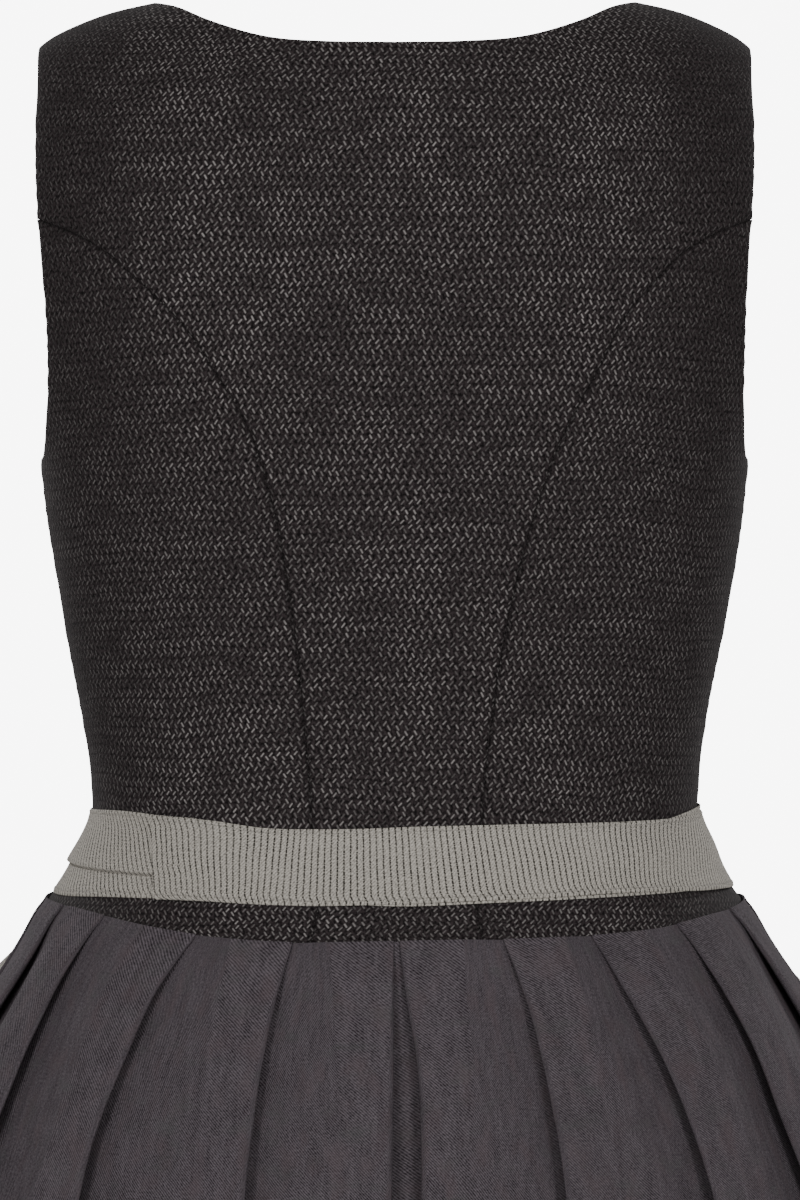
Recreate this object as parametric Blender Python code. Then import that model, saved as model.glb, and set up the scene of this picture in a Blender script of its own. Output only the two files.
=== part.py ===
"""Dirndl: a sleeveless bodice with princess seams, a knife-pleated skirt and a striped apron.

Metres, +Z up. The front of the garment faces -Y and its left side is +X. The origin lies midway
between the shoulders, level with the neck points, and the whole dress hangs below it. Angles round
the body are measured from centre back, positive towards +X.
"""

import bpy
import numpy as np


def table(names, *rows):
    """A table of named columns; its first column is the one that it is read by."""
    columns = np.array(rows, dtype=float).T
    return dict(zip(names.split(), columns))


# Cloth
BODICE_WALL = 0.0015
SKIRT_WALL = 0.0010
BAND_WALL = 0.0012
APRON_WALL = 0.0010
SEAM_GAP = 0.0003

# Heights of the main lines
UNDERARM = -0.187
BAND_TOP = -0.3312
BAND_BOTTOM = -0.3622
WAIST_SEAM = -0.3673
WAIST_SEAM_DIP = 0.0075
HEM = -0.985

# Rows of the bodice that are level all the way round; the band shares the lowest
BAND_ROW_HEIGHTS = tuple(np.linspace(BAND_BOTTOM, BAND_TOP, 4))
LEVEL_ROWS = BAND_ROW_HEIGHTS + (-0.300, -0.258, -0.215)

# Points of the panels' edges: shares of the way along them, or how many
UPPER_SEAM_SHARES = np.linspace(0, 1, 8) ** 1.3
ARMHOLE_SHARES = np.linspace(0, 1, 7)
FRONT_OPENING_ROWS = 4
SIDE_PANEL_COLUMNS = 8
FRONT_CENTER_COLUMNS = 9
BACK_SHOULDER_COLUMNS = 5
HALF_BACK_NECK_COLUMNS = 7
SIDE_PANEL_TIP = 0.015
FINE_STEPS = 400

# Shoulders and necklines
NECK_HALF_WIDTH = 0.0982
SHOULDER_HALF_WIDTH = 0.1458
SHOULDER_DROP = 0.0184
SHOULDER_ROUNDING = 0.070

# The body's level sections, as if it had no arms
TORSO = table(
    "height half_width back_depth front_depth bust_fullness",
    (-0.400, 0.1640, 0.1340, 0.1340, 0.00),
    (-0.376, 0.1500, 0.1180, 0.1180, 0.00),
    (-0.3655, 0.1408, 0.1105, 0.1105, 0.00),
    (-0.3554, 0.1335, 0.1035, 0.1055, 0.00),
    (-0.345, 0.1285, 0.0990, 0.1020, 0.00),
    (-0.333, 0.1234, 0.0955, 0.1000, 0.00),
    (-0.320, 0.1240, 0.0950, 0.1000, 0.01),
    (-0.295, 0.1277, 0.0960, 0.1060, 0.03),
    (-0.245, 0.1370, 0.0990, 0.1240, 0.08),
    (-0.210, 0.1430, 0.1015, 0.1320, 0.11),
    (UNDERARM, 0.1455, 0.1030, 0.1300, 0.11),
    (-0.145, 0.1535, 0.1045, 0.1200, 0.07),
    (-0.100, 0.1580, 0.1030, 0.1060, 0.03),
    (-0.060, 0.1585, 0.0985, 0.0940, 0.00),
    (-0.020, 0.1570, 0.0920, 0.0820, 0.00),
    (0.030, 0.1550, 0.0880, 0.0700, 0.00),
)

# The line over the shoulders where back and front would meet, carried on across the neck
RIDGE = table(
    "sideways height",
    (0.000, 0.0208),
    (0.026, 0.0176),
    (0.054, 0.0102),
    (0.076, 0.0033),
    (NECK_HALF_WIDTH, 0.0000),
    (0.1197, -0.0052),
    (0.1296, -0.0092),
    (0.1400, -0.0145),
    (SHOULDER_HALF_WIDTH, -SHOULDER_DROP),
    (0.1700, -0.0350),
)

# Edges of the left half of the bodice, seen from the back or the front
BACK_NECKLINE = table(
    "sideways height",
    (0.000, -0.0180),
    (0.026, -0.0173),
    (0.054, -0.0146),
    (0.076, -0.0079),
    (0.090, -0.0018),
    (NECK_HALF_WIDTH, 0.0000),
)
FRONT_NECKLINE = table(
    "sideways height",
    (0.000, -0.118),
    (0.030, -0.1165),
    (0.058, -0.107),
    (0.076, -0.085),
    (0.086, -0.055),
    (0.093, -0.025),
    (NECK_HALF_WIDTH, 0.0000),
)
SHOULDER = table(
    "sideways height",
    (NECK_HALF_WIDTH, 0.0000),
    (0.1197, -0.0052),
    (0.1296, -0.0092),
    (0.1400, -0.0145),
    (SHOULDER_HALF_WIDTH, -SHOULDER_DROP),
)
BACK_ARMHOLE = table(
    "sideways height",
    (SHOULDER_HALF_WIDTH, -SHOULDER_DROP),
    (0.1458, -0.032),
    (0.1462, -0.050),
    (0.1460, -0.070),
    (0.1450, -0.0885),
    (0.1433, -0.112),
    (0.1420, -0.135),
    (0.1416, -0.156),
    (0.1422, -0.1715),
    (0.1434, -0.1815),
    (0.1447, -0.1860),
    (0.1455, UNDERARM),
)
FRONT_ARMHOLE = table(
    "sideways height",
    (SHOULDER_HALF_WIDTH, -SHOULDER_DROP),
    (0.1400, -0.040),
    (0.1325, -0.070),
    (0.1285, -0.105),
    (0.1290, -0.130),
    (0.1335, -0.155),
    (0.1385, -0.1745),
    (0.1420, -0.1835),
    (0.1444, -0.1867),
    (0.1455, UNDERARM),
)
BACK_PRINCESS_SEAM = table(
    "sideways height",
    (0.0308, -0.3744),
    (0.0339, -0.3289),
    (0.0371, -0.2934),
    (0.0438, -0.2442),
    (0.0549, -0.1957),
    (0.0637, -0.1718),
    (0.0757, -0.1508),
    (0.0878, -0.1305),
    (0.1034, -0.1134),
    (0.1160, -0.1020),
    (0.1300, -0.0942),
    (0.1450, -0.0885),
)
FRONT_PRINCESS_SEAM = table(
    "sideways height",
    (0.0450, -0.3735),
    (0.0465, -0.3300),
    (0.0550, -0.2900),
    (0.0690, -0.2500),
    (0.0820, -0.2100),
    (0.0910, -0.1750),
    (0.1010, -0.1430),
    (0.1150, -0.1180),
    (0.1285, -0.1050),
)

# How far the skirt stands out from the waist seam, at distances down from it at the side
SKIRT_FLARE = table(
    "down side back front",
    (0.000, 0.0000, 0.0000, 0.0000),
    (0.020, 0.0133, 0.0115, 0.0115),
    (0.050, 0.0340, 0.0295, 0.0275),
    (0.100, 0.0630, 0.0555, 0.0535),
    (0.150, 0.0835, 0.0745, 0.0715),
    (0.250, 0.1145, 0.1055, 0.1015),
    (0.350, 0.1415, 0.1315, 0.1275),
    (0.450, 0.1655, 0.1555, 0.1505),
    (0.550, 0.1865, 0.1765, 0.1715),
    (0.620, 0.1990, 0.1890, 0.1840),
)
SKIRT_LENGTH = WAIST_SEAM - HEM
SKIRT_ROWS = (0.0, 0.016, 0.040, 0.070, 0.105, 0.160, 0.230, 0.300, 0.380, 0.490, SKIRT_LENGTH)

# Knife pleats: each fold edge faces centre back. Its place is a share of the way round from
# centre back to centre front, at the waist seam, a hand's width below it and at the hem.
PLEATS = table(
    "number waist_left waist_right below_left below_right hem_left hem_right",
    (0, 0.0025, 0.0070, 0.0030, 0.0170, 0.0350, 0.0350),
    (1, 0.1020, 0.1090, 0.1010, 0.1140, 0.1370, 0.1400),
    (2, 0.2050, 0.2050, 0.2180, 0.2200, 0.2400, 0.2400),
    (3, 0.3220, 0.3140, 0.3280, 0.3100, 0.3400, 0.3370),
    (4, 0.4020, 0.4100, 0.4120, 0.4120, 0.4370, 0.4370),
    (5, 0.5050, 0.5050, 0.5120, 0.5120, 0.5380, 0.5380),
    (6, 0.6050, 0.6050, 0.6120, 0.6120, 0.6400, 0.6400),
    (7, 0.7050, 0.7050, 0.7130, 0.7130, 0.7430, 0.7430),
    (8, 0.8050, 0.8050, 0.8150, 0.8150, 0.8460, 0.8460),
    (9, 0.9000, 0.9000, 0.9120, 0.9120, 0.9500, 0.9500),
)
BELOW = 0.100
PLEAT_COUNT = len(PLEATS["number"])
BACK_PLEATS = 5
CLOTH_PER_PLEAT_AT_WAIST = 0.092
CLOTH_PER_PLEAT_AT_HEM = 0.115

# The distance between the layers of a flat fold, at distances down from the waist seam
LAYER_PITCH = table(
    "down pitch",
    (0.00, 0.0018),
    (0.10, 0.0032),
    (0.24, 0.0061),
    (0.35, 0.0082),
    (SKIRT_LENGTH, 0.0082),
)

# The eight points of one pleat's fold. Flat, a point lies some depths and turns past the fold
# edge and some layers up; open, it lies at a share of the wave that the pleat has become.
FOLD = table(
    "point depths turns layers wave",
    (0, 0, -1, 0.0, -0.45),
    (1, 1, -1, 0.0, -0.32),
    (2, 1, 0, 0.4, -0.20),
    (3, 1, -1, 0.8, -0.10),
    (4, 0, 1, 1.2, -0.02),
    (5, 0, 0, 1.6, 0.05),
    (6, 0, 1, 2.0, 0.15),
    (7, 1, 0, 2.0, 0.35),
)
TOP_LAYER = FOLD["layers"][-1]
FOLDS_OPEN_FROM = 0.13
HEM_WAVE = 0.012
WAVE_CREST = 0.03
SHARPEST_MITER = 0.6

# Band and apron
BAND_OVERLAP_ANGLE = np.radians(48.0)
BAND_OVERLAP = np.radians(6.0)
BAND_RAMP = np.radians(14.0)
BAND_COLUMNS = 66
APRON_STARTS = 0.565
APRON_LENGTH_SHARE = 0.885
APRON_GATHERS = 9
APRON_GATHER_DEPTH = 0.006
APRON_GATHERS_FULL_AT = 0.06
APRON_CLEARANCE = 0.0006
COLUMNS_PER_GATHER = 5

CLOTHS = {
    "jacquard": ((0.028, 0.022, 0.022, 1.0), 0.85),
    "twill": ((0.070, 0.058, 0.063, 1.0), 0.90),
    "stripe": ((0.260, 0.240, 0.215, 1.0), 0.80),
}


def read(source, name, at):
    """One column of a table at any places, by a smooth curve through its rows."""
    keys = list(source.values())[0]
    values = source[name]
    slopes = np.gradient(values, keys)
    at = np.clip(at, keys[0], keys[-1])
    row = np.clip(np.searchsorted(keys, at) - 1, 0, len(keys) - 2)
    step = keys[row + 1] - keys[row]
    u = (at - keys[row]) / step
    start = (1 + 2 * u) * (1 - u) ** 2 * values[row] + u * (1 - u) ** 2 * step * slopes[row]
    end = u * u * (3 - 2 * u) * values[row + 1] + u * u * (u - 1) * step * slopes[row + 1]
    return start + end


def smooth_step(u):
    """A rise from 0 to 1 that is level at both ends."""
    u = np.clip(u, 0.0, 1.0)
    return u * u * (3 - 2 * u)


def unit(vectors):
    """Vectors of length 1."""
    return vectors / np.linalg.norm(vectors, axis=-1, keepdims=True)


def edge(source, shares):
    """Points (sideways, height) at shares of the length of a smooth curve through a table."""
    corners = np.stack([source["sideways"], source["height"]], axis=1)
    chords = np.linalg.norm(np.diff(corners, axis=0), axis=1)
    way = {"way": np.concatenate([[0.0], np.cumsum(chords)]), "x": corners[:, 0], "z": corners[:, 1]}
    fine_way = np.linspace(0.0, way["way"][-1], FINE_STEPS)
    fine = np.stack([read(way, "x", fine_way), read(way, "z", fine_way)], axis=1)
    lengths = np.concatenate([[0.0], np.cumsum(np.linalg.norm(np.diff(fine, axis=0), axis=1))])
    wanted = np.asarray(shares) * lengths[-1]
    return np.stack([np.interp(wanted, lengths, fine[:, axis]) for axis in (0, 1)], axis=1)


# ---- The body that the bodice fits --------------------------------------------------------------


def body_level(x, y, z, facing):
    """Zero on the body's surface and above zero outside it: y squared less the surface's own."""
    side = (x / read(TORSO, "half_width", z)) ** 2
    depth = read(TORSO, "back_depth" if facing > 0 else "front_depth", z)
    fullness = read(TORSO, "bust_fullness", z) if facing < 0 else 0.0
    bulge = 1 + 4 * fullness * side * (1 - side)
    rise = (z - read(RIDGE, "height", np.abs(x))) / SHOULDER_ROUNDING + 1
    closing = 1 - np.maximum(rise, 0.0) ** 2
    return y ** 2 - depth ** 2 * (1 - side) * bulge ** 2 * closing


def body_points(angle, z, facing):
    """Points on the body at angles from centre back or centre front, and at heights."""
    x = read(TORSO, "half_width", z) * np.sin(angle)
    y = facing * np.sqrt(np.maximum(-body_level(x, 0.0, z, facing), 0.0))
    return np.stack([x, y, z], axis=-1)


def body_outward(points, facing):
    """Outward directions on the body: the slope of its level function."""
    reach = 1e-5
    slopes = []
    for axis in range(3):
        step = np.zeros(3)
        step[axis] = reach
        ahead = body_level(*np.moveaxis(points + step, -1, 0), facing)
        behind = body_level(*np.moveaxis(points - step, -1, 0), facing)
        slopes.append(ahead - behind)
    return unit(np.stack(slopes, axis=-1))


def waist_seam(angle):
    """The height of the seam between bodice and skirt, which dips at centre back and front."""
    return WAIST_SEAM - WAIST_SEAM_DIP * np.cos(angle) ** 2


# ---- Closed walls of cloth ----------------------------------------------------------------------


def cloth_material(cloth):
    """A plain Principled material in the cloth's colour, made once for each cloth."""
    if cloth in bpy.data.materials:
        return bpy.data.materials[cloth]
    colour, roughness = CLOTHS[cloth]
    material = bpy.data.materials.new(cloth)
    material.use_nodes = True
    shader = material.node_tree.nodes["Principled BSDF"]
    shader.inputs["Base Color"].default_value = colour
    shader.inputs["Roughness"].default_value = roughness
    shader.inputs["Metallic"].default_value = 0.0
    return material


def add_wall(name, outer, inner, cloth):
    """One closed piece of cloth from the grids of its outer and inner faces."""
    rows, columns = outer.shape[:2]
    number = np.arange(rows * columns).reshape(rows, columns)
    across = np.gradient(outer, axis=1)
    up = np.gradient(outer, axis=0)
    faces_out = np.sum(np.cross(across, up) * (outer - inner)) > 0
    if not faces_out:
        outer, inner = outer[:, ::-1], inner[:, ::-1]
    front = np.stack([number[:-1, :-1], number[:-1, 1:], number[1:, 1:], number[1:, :-1]], axis=-1)
    back = front[..., ::-1] + number.size
    rim = np.concatenate([number[0, :-1], number[:-1, -1], number[-1, :0:-1], number[:0:-1, 0]])
    after = np.roll(rim, -1)
    edge_faces = np.stack([after, rim, rim + number.size, after + number.size], axis=-1)
    faces = np.concatenate([front.reshape(-1, 4), back.reshape(-1, 4), edge_faces])
    points = np.concatenate([outer.reshape(-1, 3), inner.reshape(-1, 3)])
    mesh = bpy.data.meshes.new(name)
    mesh.from_pydata(points.tolist(), [], faces.tolist())
    mesh.materials.append(cloth_material(cloth))
    mesh.shade_smooth()
    mesh.set_sharp_from_angle(angle=np.radians(40.0))
    piece = bpy.data.objects.new(name, mesh)
    bpy.context.scene.collection.objects.link(piece)
    return piece


def trimmed(points, outward):
    """The grid with each of its four edges drawn in by half the seam gap, within the cloth."""
    across = np.gradient(points, axis=1)
    up = np.gradient(points, axis=0)
    turn = np.sign(np.sum(np.cross(across, up) * outward))
    sideways = unit(np.cross(up, outward)) * turn
    upwards = unit(np.cross(outward, across)) * turn
    moved = points.copy()
    moved[:, 0] += sideways[:, 0] * SEAM_GAP / 2
    moved[:, -1] -= sideways[:, -1] * SEAM_GAP / 2
    moved[0] += upwards[0] * SEAM_GAP / 2
    moved[-1] -= upwards[-1] * SEAM_GAP / 2
    return moved


# ---- Bodice -------------------------------------------------------------------------------------


def between_edges(bottom, top, left, right, level_rows):
    """A grid that fills the space between four edges, a row for each point of its side edges.

    The shape of the bottom edge is in the first row alone. The shape of the top edge fades in
    above the level rows, which stay level between the side edges.
    """
    u = np.linspace(0, 1, len(bottom))[None, :, None]
    row = np.arange(len(left))[:, None, None]
    fade = smooth_step((row - level_rows) / (len(left) - 1 - level_rows))
    from_sides = (1 - u) * left[:, None] + u * right[:, None]
    lower = (1 - u) * bottom[0] + u * bottom[-1]
    upper = (1 - u) * top[0] + u * top[-1]
    return from_sides + (row == 0) * (bottom - lower) + fade * (top - upper)


def as_angles(corners):
    """Edge points (sideways, height) as (angle, height) on the body."""
    half_width = read(TORSO, "half_width", corners[:, 1])
    angles = np.arcsin(np.clip(corners[:, 0] / half_width, -1.0, 1.0))
    return np.stack([angles, corners[:, 1]], axis=1)


def mirrored(angles):
    """The same edge on the other side of the body."""
    return angles * np.array([-1.0, 1.0])


def join(*edges):
    """Edges one after another, where each begins at the end of the one before."""
    return np.concatenate([edges[0]] + [more[1:] for more in edges[1:]])


def share_at_height(source, height):
    """How far along an edge a height is met."""
    shares = np.linspace(0, 1, 2 * FINE_STEPS)
    heights = edge(source, shares)[:, 1]
    order = np.argsort(heights)
    return np.interp(height, heights[order], shares[order])


def edge_between(source, start_height, end_height, shares, facing):
    """Edge points as (angle, height) at shares of the way along the body between two heights."""
    start = share_at_height(source, start_height)
    end = share_at_height(source, end_height)
    fine = as_angles(edge(source, np.linspace(start, end, FINE_STEPS)))
    steps = np.linalg.norm(np.diff(body_points(fine[:, 0], fine[:, 1], facing), axis=0), axis=1)
    way = np.concatenate([[0.0], np.cumsum(steps)])
    wanted = shares * way[-1]
    return np.stack([np.interp(wanted, way, fine[:, axis]) for axis in (0, 1)], axis=1)


def waist_edge(start, end, count):
    """Points along the waist seam between two angles."""
    angles = np.linspace(start, end, count)
    return np.stack([angles, waist_seam(angles)], axis=1)


def seam_rows(princess):
    """A princess seam's point at the waist seam and at each level row."""
    shares = [share_at_height(princess, height) for height in LEVEL_ROWS]
    points = as_angles(edge(princess, shares))
    waist = points[0].copy()
    waist[1] = waist_seam(waist[0])
    return np.vstack([waist, points])


def add_bodice_panel(name, grid, facing):
    """A bodice panel from its grid of (angle, height), with its wall inside the body's surface."""
    surface = body_points(grid[..., 0], grid[..., 1], facing)
    outward = body_outward(surface, facing)
    outer = trimmed(surface, outward)
    return add_wall(name, outer, outer - outward * BODICE_WALL, "jacquard")


def center_edge(armhole, princess, facing):
    """The outer edge of a centre panel: up the princess seam, then up the armhole."""
    corner = princess["height"][-1]
    upper_seam = edge_between(princess, LEVEL_ROWS[-1], corner, UPPER_SEAM_SHARES, facing)
    upper_armhole = edge_between(armhole, corner, -SHOULDER_DROP, ARMHOLE_SHARES, facing)
    return join(seam_rows(princess), upper_seam, upper_armhole)


def add_side_panels(name, armhole, princess, facing):
    """The left and right panels from princess seam to side seam, ending in a tip at the armhole."""
    corner = princess["height"][-1]
    seam_shares = np.append(UPPER_SEAM_SHARES[:-1], 1 - SIDE_PANEL_TIP)
    upper_seam = edge_between(princess, LEVEL_ROWS[-1], corner, seam_shares, facing)
    inner = join(seam_rows(princess), upper_seam)
    side_heights = np.array((WAIST_SEAM,) + LEVEL_ROWS + (UNDERARM,))
    side_seam = np.stack([np.full(len(side_heights), np.pi / 2), side_heights], axis=1)
    armhole_shares = np.linspace(0, 1, len(seam_shares) - 1)
    armhole_shares[-1] = 1 - SIDE_PANEL_TIP
    outer = join(side_seam, edge_between(armhole, UNDERARM, corner, armhole_shares, facing))
    bottom = waist_edge(inner[0, 0], outer[0, 0], SIDE_PANEL_COLUMNS)
    top = np.linspace(inner[-1], outer[-1], SIDE_PANEL_COLUMNS)
    grid = between_edges(bottom, top, inner, outer, len(LEVEL_ROWS))
    add_bodice_panel(name + "_left", grid, facing)
    add_bodice_panel(name + "_right", mirrored(grid), facing)


def add_back():
    """The back: one panel between the princess seams, and a side panel each side of it."""
    left = center_edge(BACK_ARMHOLE, BACK_PRINCESS_SEAM, 1)
    shoulder = as_angles(edge(SHOULDER, np.linspace(1, 0, BACK_SHOULDER_COLUMNS)))
    neckline = as_angles(edge(BACK_NECKLINE, np.linspace(1, 0, HALF_BACK_NECK_COLUMNS)))
    half_top = join(shoulder, neckline)
    top = join(mirrored(half_top), half_top[::-1])
    bottom = waist_edge(-left[0, 0], left[0, 0], len(top))
    grid = between_edges(bottom, top, mirrored(left), left, len(LEVEL_ROWS))
    add_bodice_panel("bodice_back_center", grid, 1)
    add_side_panels("bodice_back_side", BACK_ARMHOLE, BACK_PRINCESS_SEAM, 1)


def add_front():
    """The front: two panels that close edge to edge at centre front, and a side panel each side."""
    outer = center_edge(FRONT_ARMHOLE, FRONT_PRINCESS_SEAM, -1)
    shoulder = as_angles(edge(SHOULDER, np.linspace(0, 1, FRONT_CENTER_COLUMNS)))
    bottom = waist_edge(0.0, outer[0, 0], FRONT_CENTER_COLUMNS)
    neck = FRONT_NECKLINE["height"]
    above = np.linspace(LEVEL_ROWS[-1], neck[0], FRONT_OPENING_ROWS + 1)[1:]
    heights = np.concatenate([bottom[:1, 1], LEVEL_ROWS, above])
    opening = np.stack([np.zeros(len(heights)), heights], axis=1)
    shares = np.linspace(0, 1, len(outer) - len(opening) + 1)
    neckline = edge_between(FRONT_NECKLINE, neck[0], neck[-1], shares, -1)
    grid = between_edges(bottom, shoulder, join(opening, neckline), outer, len(LEVEL_ROWS))
    add_bodice_panel("bodice_front_center_left", grid, -1)
    add_bodice_panel("bodice_front_center_right", mirrored(grid), -1)
    add_side_panels("bodice_front_side", FRONT_ARMHOLE, FRONT_PRINCESS_SEAM, -1)


# ---- Skirt --------------------------------------------------------------------------------------


def skirt_points(angle, down):
    """Points of the skirt's outline, its seam line pushed out by the flare, by angle and drop."""
    seam = waist_seam(angle)
    facing_back = np.cos(angle) > 0
    seam_depth = np.where(facing_back, read(TORSO, "back_depth", seam), read(TORSO, "front_depth", seam))
    flare = np.where(facing_back, read(SKIRT_FLARE, "back", down), read(SKIRT_FLARE, "front", down))
    half_width = read(TORSO, "half_width", seam) + read(SKIRT_FLARE, "side", down)
    x = half_width * np.sin(angle)
    y = (seam_depth + flare) * np.cos(angle)
    z = seam + (HEM - seam) * down / SKIRT_LENGTH
    return np.stack([x, y, z], axis=-1)


def skirt_outward(angle, down):
    """Outward directions of the skirt's outline."""
    turn = 1e-4
    drop = 1e-4
    across = skirt_points(angle + turn, down) - skirt_points(angle - turn, down)
    down_low = np.maximum(down - drop, 0.0)
    fall = skirt_points(angle, down_low + 2 * drop) - skirt_points(angle, down_low)
    return unit(np.cross(across, fall))


def skirt_half_girth(down):
    """Half the way round the skirt's outline, and a reader from distance round to angle."""
    angles = np.linspace(-np.pi, 2 * np.pi, 3 * FINE_STEPS)
    ring = skirt_points(angles, np.full(angles.shape, down))
    steps = np.linalg.norm(np.diff(ring, axis=0), axis=1)
    way = np.concatenate([[0.0], np.cumsum(steps)])
    way -= np.interp(0.0, angles, way)
    return np.interp(np.pi, angles, way), way, angles


def place_on_skirt(round_way, out, down):
    """Points at distances round from centre back, pushed out from the skirt's outline."""
    _, way, angles = skirt_half_girth(down)
    angle = np.interp(round_way, way, angles)
    drop = np.full(angle.shape, down)
    return skirt_points(angle, drop) + skirt_outward(angle, drop) * np.asarray(out)[..., None]


def pleat_edges(side, down):
    """The distance round from centre back to each fold edge of one side."""
    waist = PLEATS["waist_" + side]
    below = PLEATS["below_" + side]
    hem = PLEATS["hem_" + side]
    first = min(down / BELOW, 1.0)
    then = max(down - BELOW, 0.0) / (SKIRT_LENGTH - BELOW)
    shares = waist + (below - waist) * first + (hem - below) * then
    return shares * skirt_half_girth(down)[0]


def half_path(side, down):
    """The cloth's path from centre back to centre front: (distance round, distance out).

    Each pleat goes under its fold edge, round the inner fold, back under the edge, round the
    outer fold and out onto the pleat. Down the skirt the flat folds open into one soft wave for
    each pleat.
    """
    half_girth = skirt_half_girth(down)[0]
    pitch = half_girth / PLEAT_COUNT
    share_down = down / SKIRT_LENGTH
    cloth = CLOTH_PER_PLEAT_AT_WAIST + (CLOTH_PER_PLEAT_AT_HEM - CLOTH_PER_PLEAT_AT_WAIST) * share_down
    depth = (cloth - pitch) / 2
    opened = smooth_step((down - FOLDS_OPEN_FROM) / (SKIRT_LENGTH - FOLDS_OPEN_FROM))
    layer = read(LAYER_PITCH, "pitch", down)
    edges = pleat_edges(side, down)
    under = FOLD["depths"] * depth + FOLD["turns"] * layer / 2
    lift = (FOLD["layers"] - TOP_LAYER) * layer
    wave_lift = HEM_WAVE * np.cos(2 * np.pi * (FOLD["wave"] - WAVE_CREST)) - HEM_WAVE
    round_way = edges[:, None] + (1 - opened) * under + opened * FOLD["wave"] * pitch
    out = np.broadcast_to((1 - opened) * lift + opened * wave_lift, round_way.shape)
    front_out = (1 - opened) * lift[-1] - opened * 2 * HEM_WAVE
    return round_way, out - SKIRT_WALL / 2, half_girth, front_out - SKIRT_WALL / 2


def side_seam(round_way, out):
    """The point halfway over the last back pleat, where the side seam runs."""
    last = BACK_PLEATS - 1
    way = (round_way[last, -1] + round_way[last + 1, 0]) / 2
    return way, (out[last, -1] + out[last + 1, 0]) / 2


def back_path(side, down):
    """One side of the back's path, from centre back to the side seam."""
    round_way, out, _, _ = half_path(side, down)
    seam, seam_out = side_seam(round_way, out)
    way = np.concatenate([[0.0], round_way[:BACK_PLEATS].ravel()[1:], [seam - SEAM_GAP / 2]])
    lifts = np.concatenate([[out[0, 0]], out[:BACK_PLEATS].ravel()[1:], [seam_out]])
    return way, lifts


def front_path(side, down):
    """One side of the front's path, from the side seam to centre front."""
    round_way, out, half_girth, front_out = half_path(side, down)
    seam, seam_out = side_seam(round_way, out)
    way = np.concatenate([[seam + SEAM_GAP / 2], round_way[BACK_PLEATS:].ravel(), [half_girth]])
    lifts = np.concatenate([[seam_out], out[BACK_PLEATS:].ravel(), [front_out]])
    return way, lifts, half_girth


def path_normals(way, lifts):
    """Sideways directions along a path, lengthened at its bends so that a wall keeps its width."""
    steps = unit(np.stack([np.diff(way), np.diff(lifts)], axis=1))
    before = np.vstack([steps[:1], steps])
    after = np.vstack([steps, steps[-1:]])
    mean = unit(before + after)
    stretch = 1.0 / np.maximum(np.sum(mean * after, axis=1), SHARPEST_MITER)
    return np.stack([-mean[:, 1], mean[:, 0]], axis=1) * stretch[:, None]


def add_skirt_piece(name, path_at):
    """A width of the skirt from its path at each row."""
    outer = []
    inner = []
    for down in SKIRT_ROWS:
        way, lifts = path_at(down)
        normals = path_normals(way, lifts) * SKIRT_WALL / 2
        lowered = max(down, SEAM_GAP)
        outer.append(place_on_skirt(way + normals[:, 0], lifts + normals[:, 1], lowered))
        inner.append(place_on_skirt(way - normals[:, 0], lifts - normals[:, 1], lowered))
    add_wall(name, np.array(outer), np.array(inner), "twill")


def whole_back_path(down):
    """The back width's path, from the right side seam across centre back to the left."""
    left_way, left_lifts = back_path("left", down)
    right_way, right_lifts = back_path("right", down)
    way = np.concatenate([-right_way[:0:-1], left_way])
    return way, np.concatenate([right_lifts[:0:-1], left_lifts])


def whole_front_path(down):
    """The front width's path, from the left side seam across centre front to the right."""
    left_way, left_lifts, half_girth = front_path("left", down)
    right_way, right_lifts, _ = front_path("right", down)
    way = np.concatenate([left_way, 2 * half_girth - right_way[-2::-1]])
    return way, np.concatenate([left_lifts, right_lifts[-2::-1]])


def add_skirt():
    """The skirt: a pleated width at the back and one at the front."""
    add_skirt_piece("skirt_back", whole_back_path)
    add_skirt_piece("skirt_front", whole_front_path)


# ---- Band and apron -----------------------------------------------------------------------------


def body_ring(angle, z):
    """Points and outward directions all the way round the body, by angle from centre back."""
    side_angle = np.arcsin(np.clip(np.sin(angle), -1.0, 1.0))
    back = body_points(side_angle, z, 1)
    front = body_points(side_angle, z, -1)
    is_back = (np.cos(angle) >= 0)[..., None]
    outward = np.where(is_back, body_outward(back, 1), body_outward(front, -1))
    return np.where(is_back, back, front), outward


def add_band():
    """The waistband of the apron: one strip round the body whose ends overlap at the left back."""
    start = BAND_OVERLAP_ANGLE
    angles = np.linspace(start, start - 2 * np.pi - BAND_OVERLAP, BAND_COLUMNS)
    angle, z = np.meshgrid(angles, BAND_ROW_HEIGHTS)
    on_top = 1 - smooth_step((start - angle) / BAND_RAMP - 0.5)
    lift = SEAM_GAP + on_top * (BAND_WALL + SEAM_GAP)
    points, outward = body_ring(angle, z)
    inner = points + outward * lift[..., None]
    add_wall("apron_band", inner + outward * BAND_WALL, inner, "stripe")


def apron_row(down, start, end, columns):
    """One level row of the apron over the skirt: points and outward directions."""
    half_girth, way, angles = skirt_half_girth(down)
    shares = np.linspace(start, end, columns)
    angle = np.interp(shares * half_girth, way, angles)
    drop = np.full(angle.shape, down)
    return skirt_points(angle, drop), skirt_outward(angle, drop)


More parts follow.
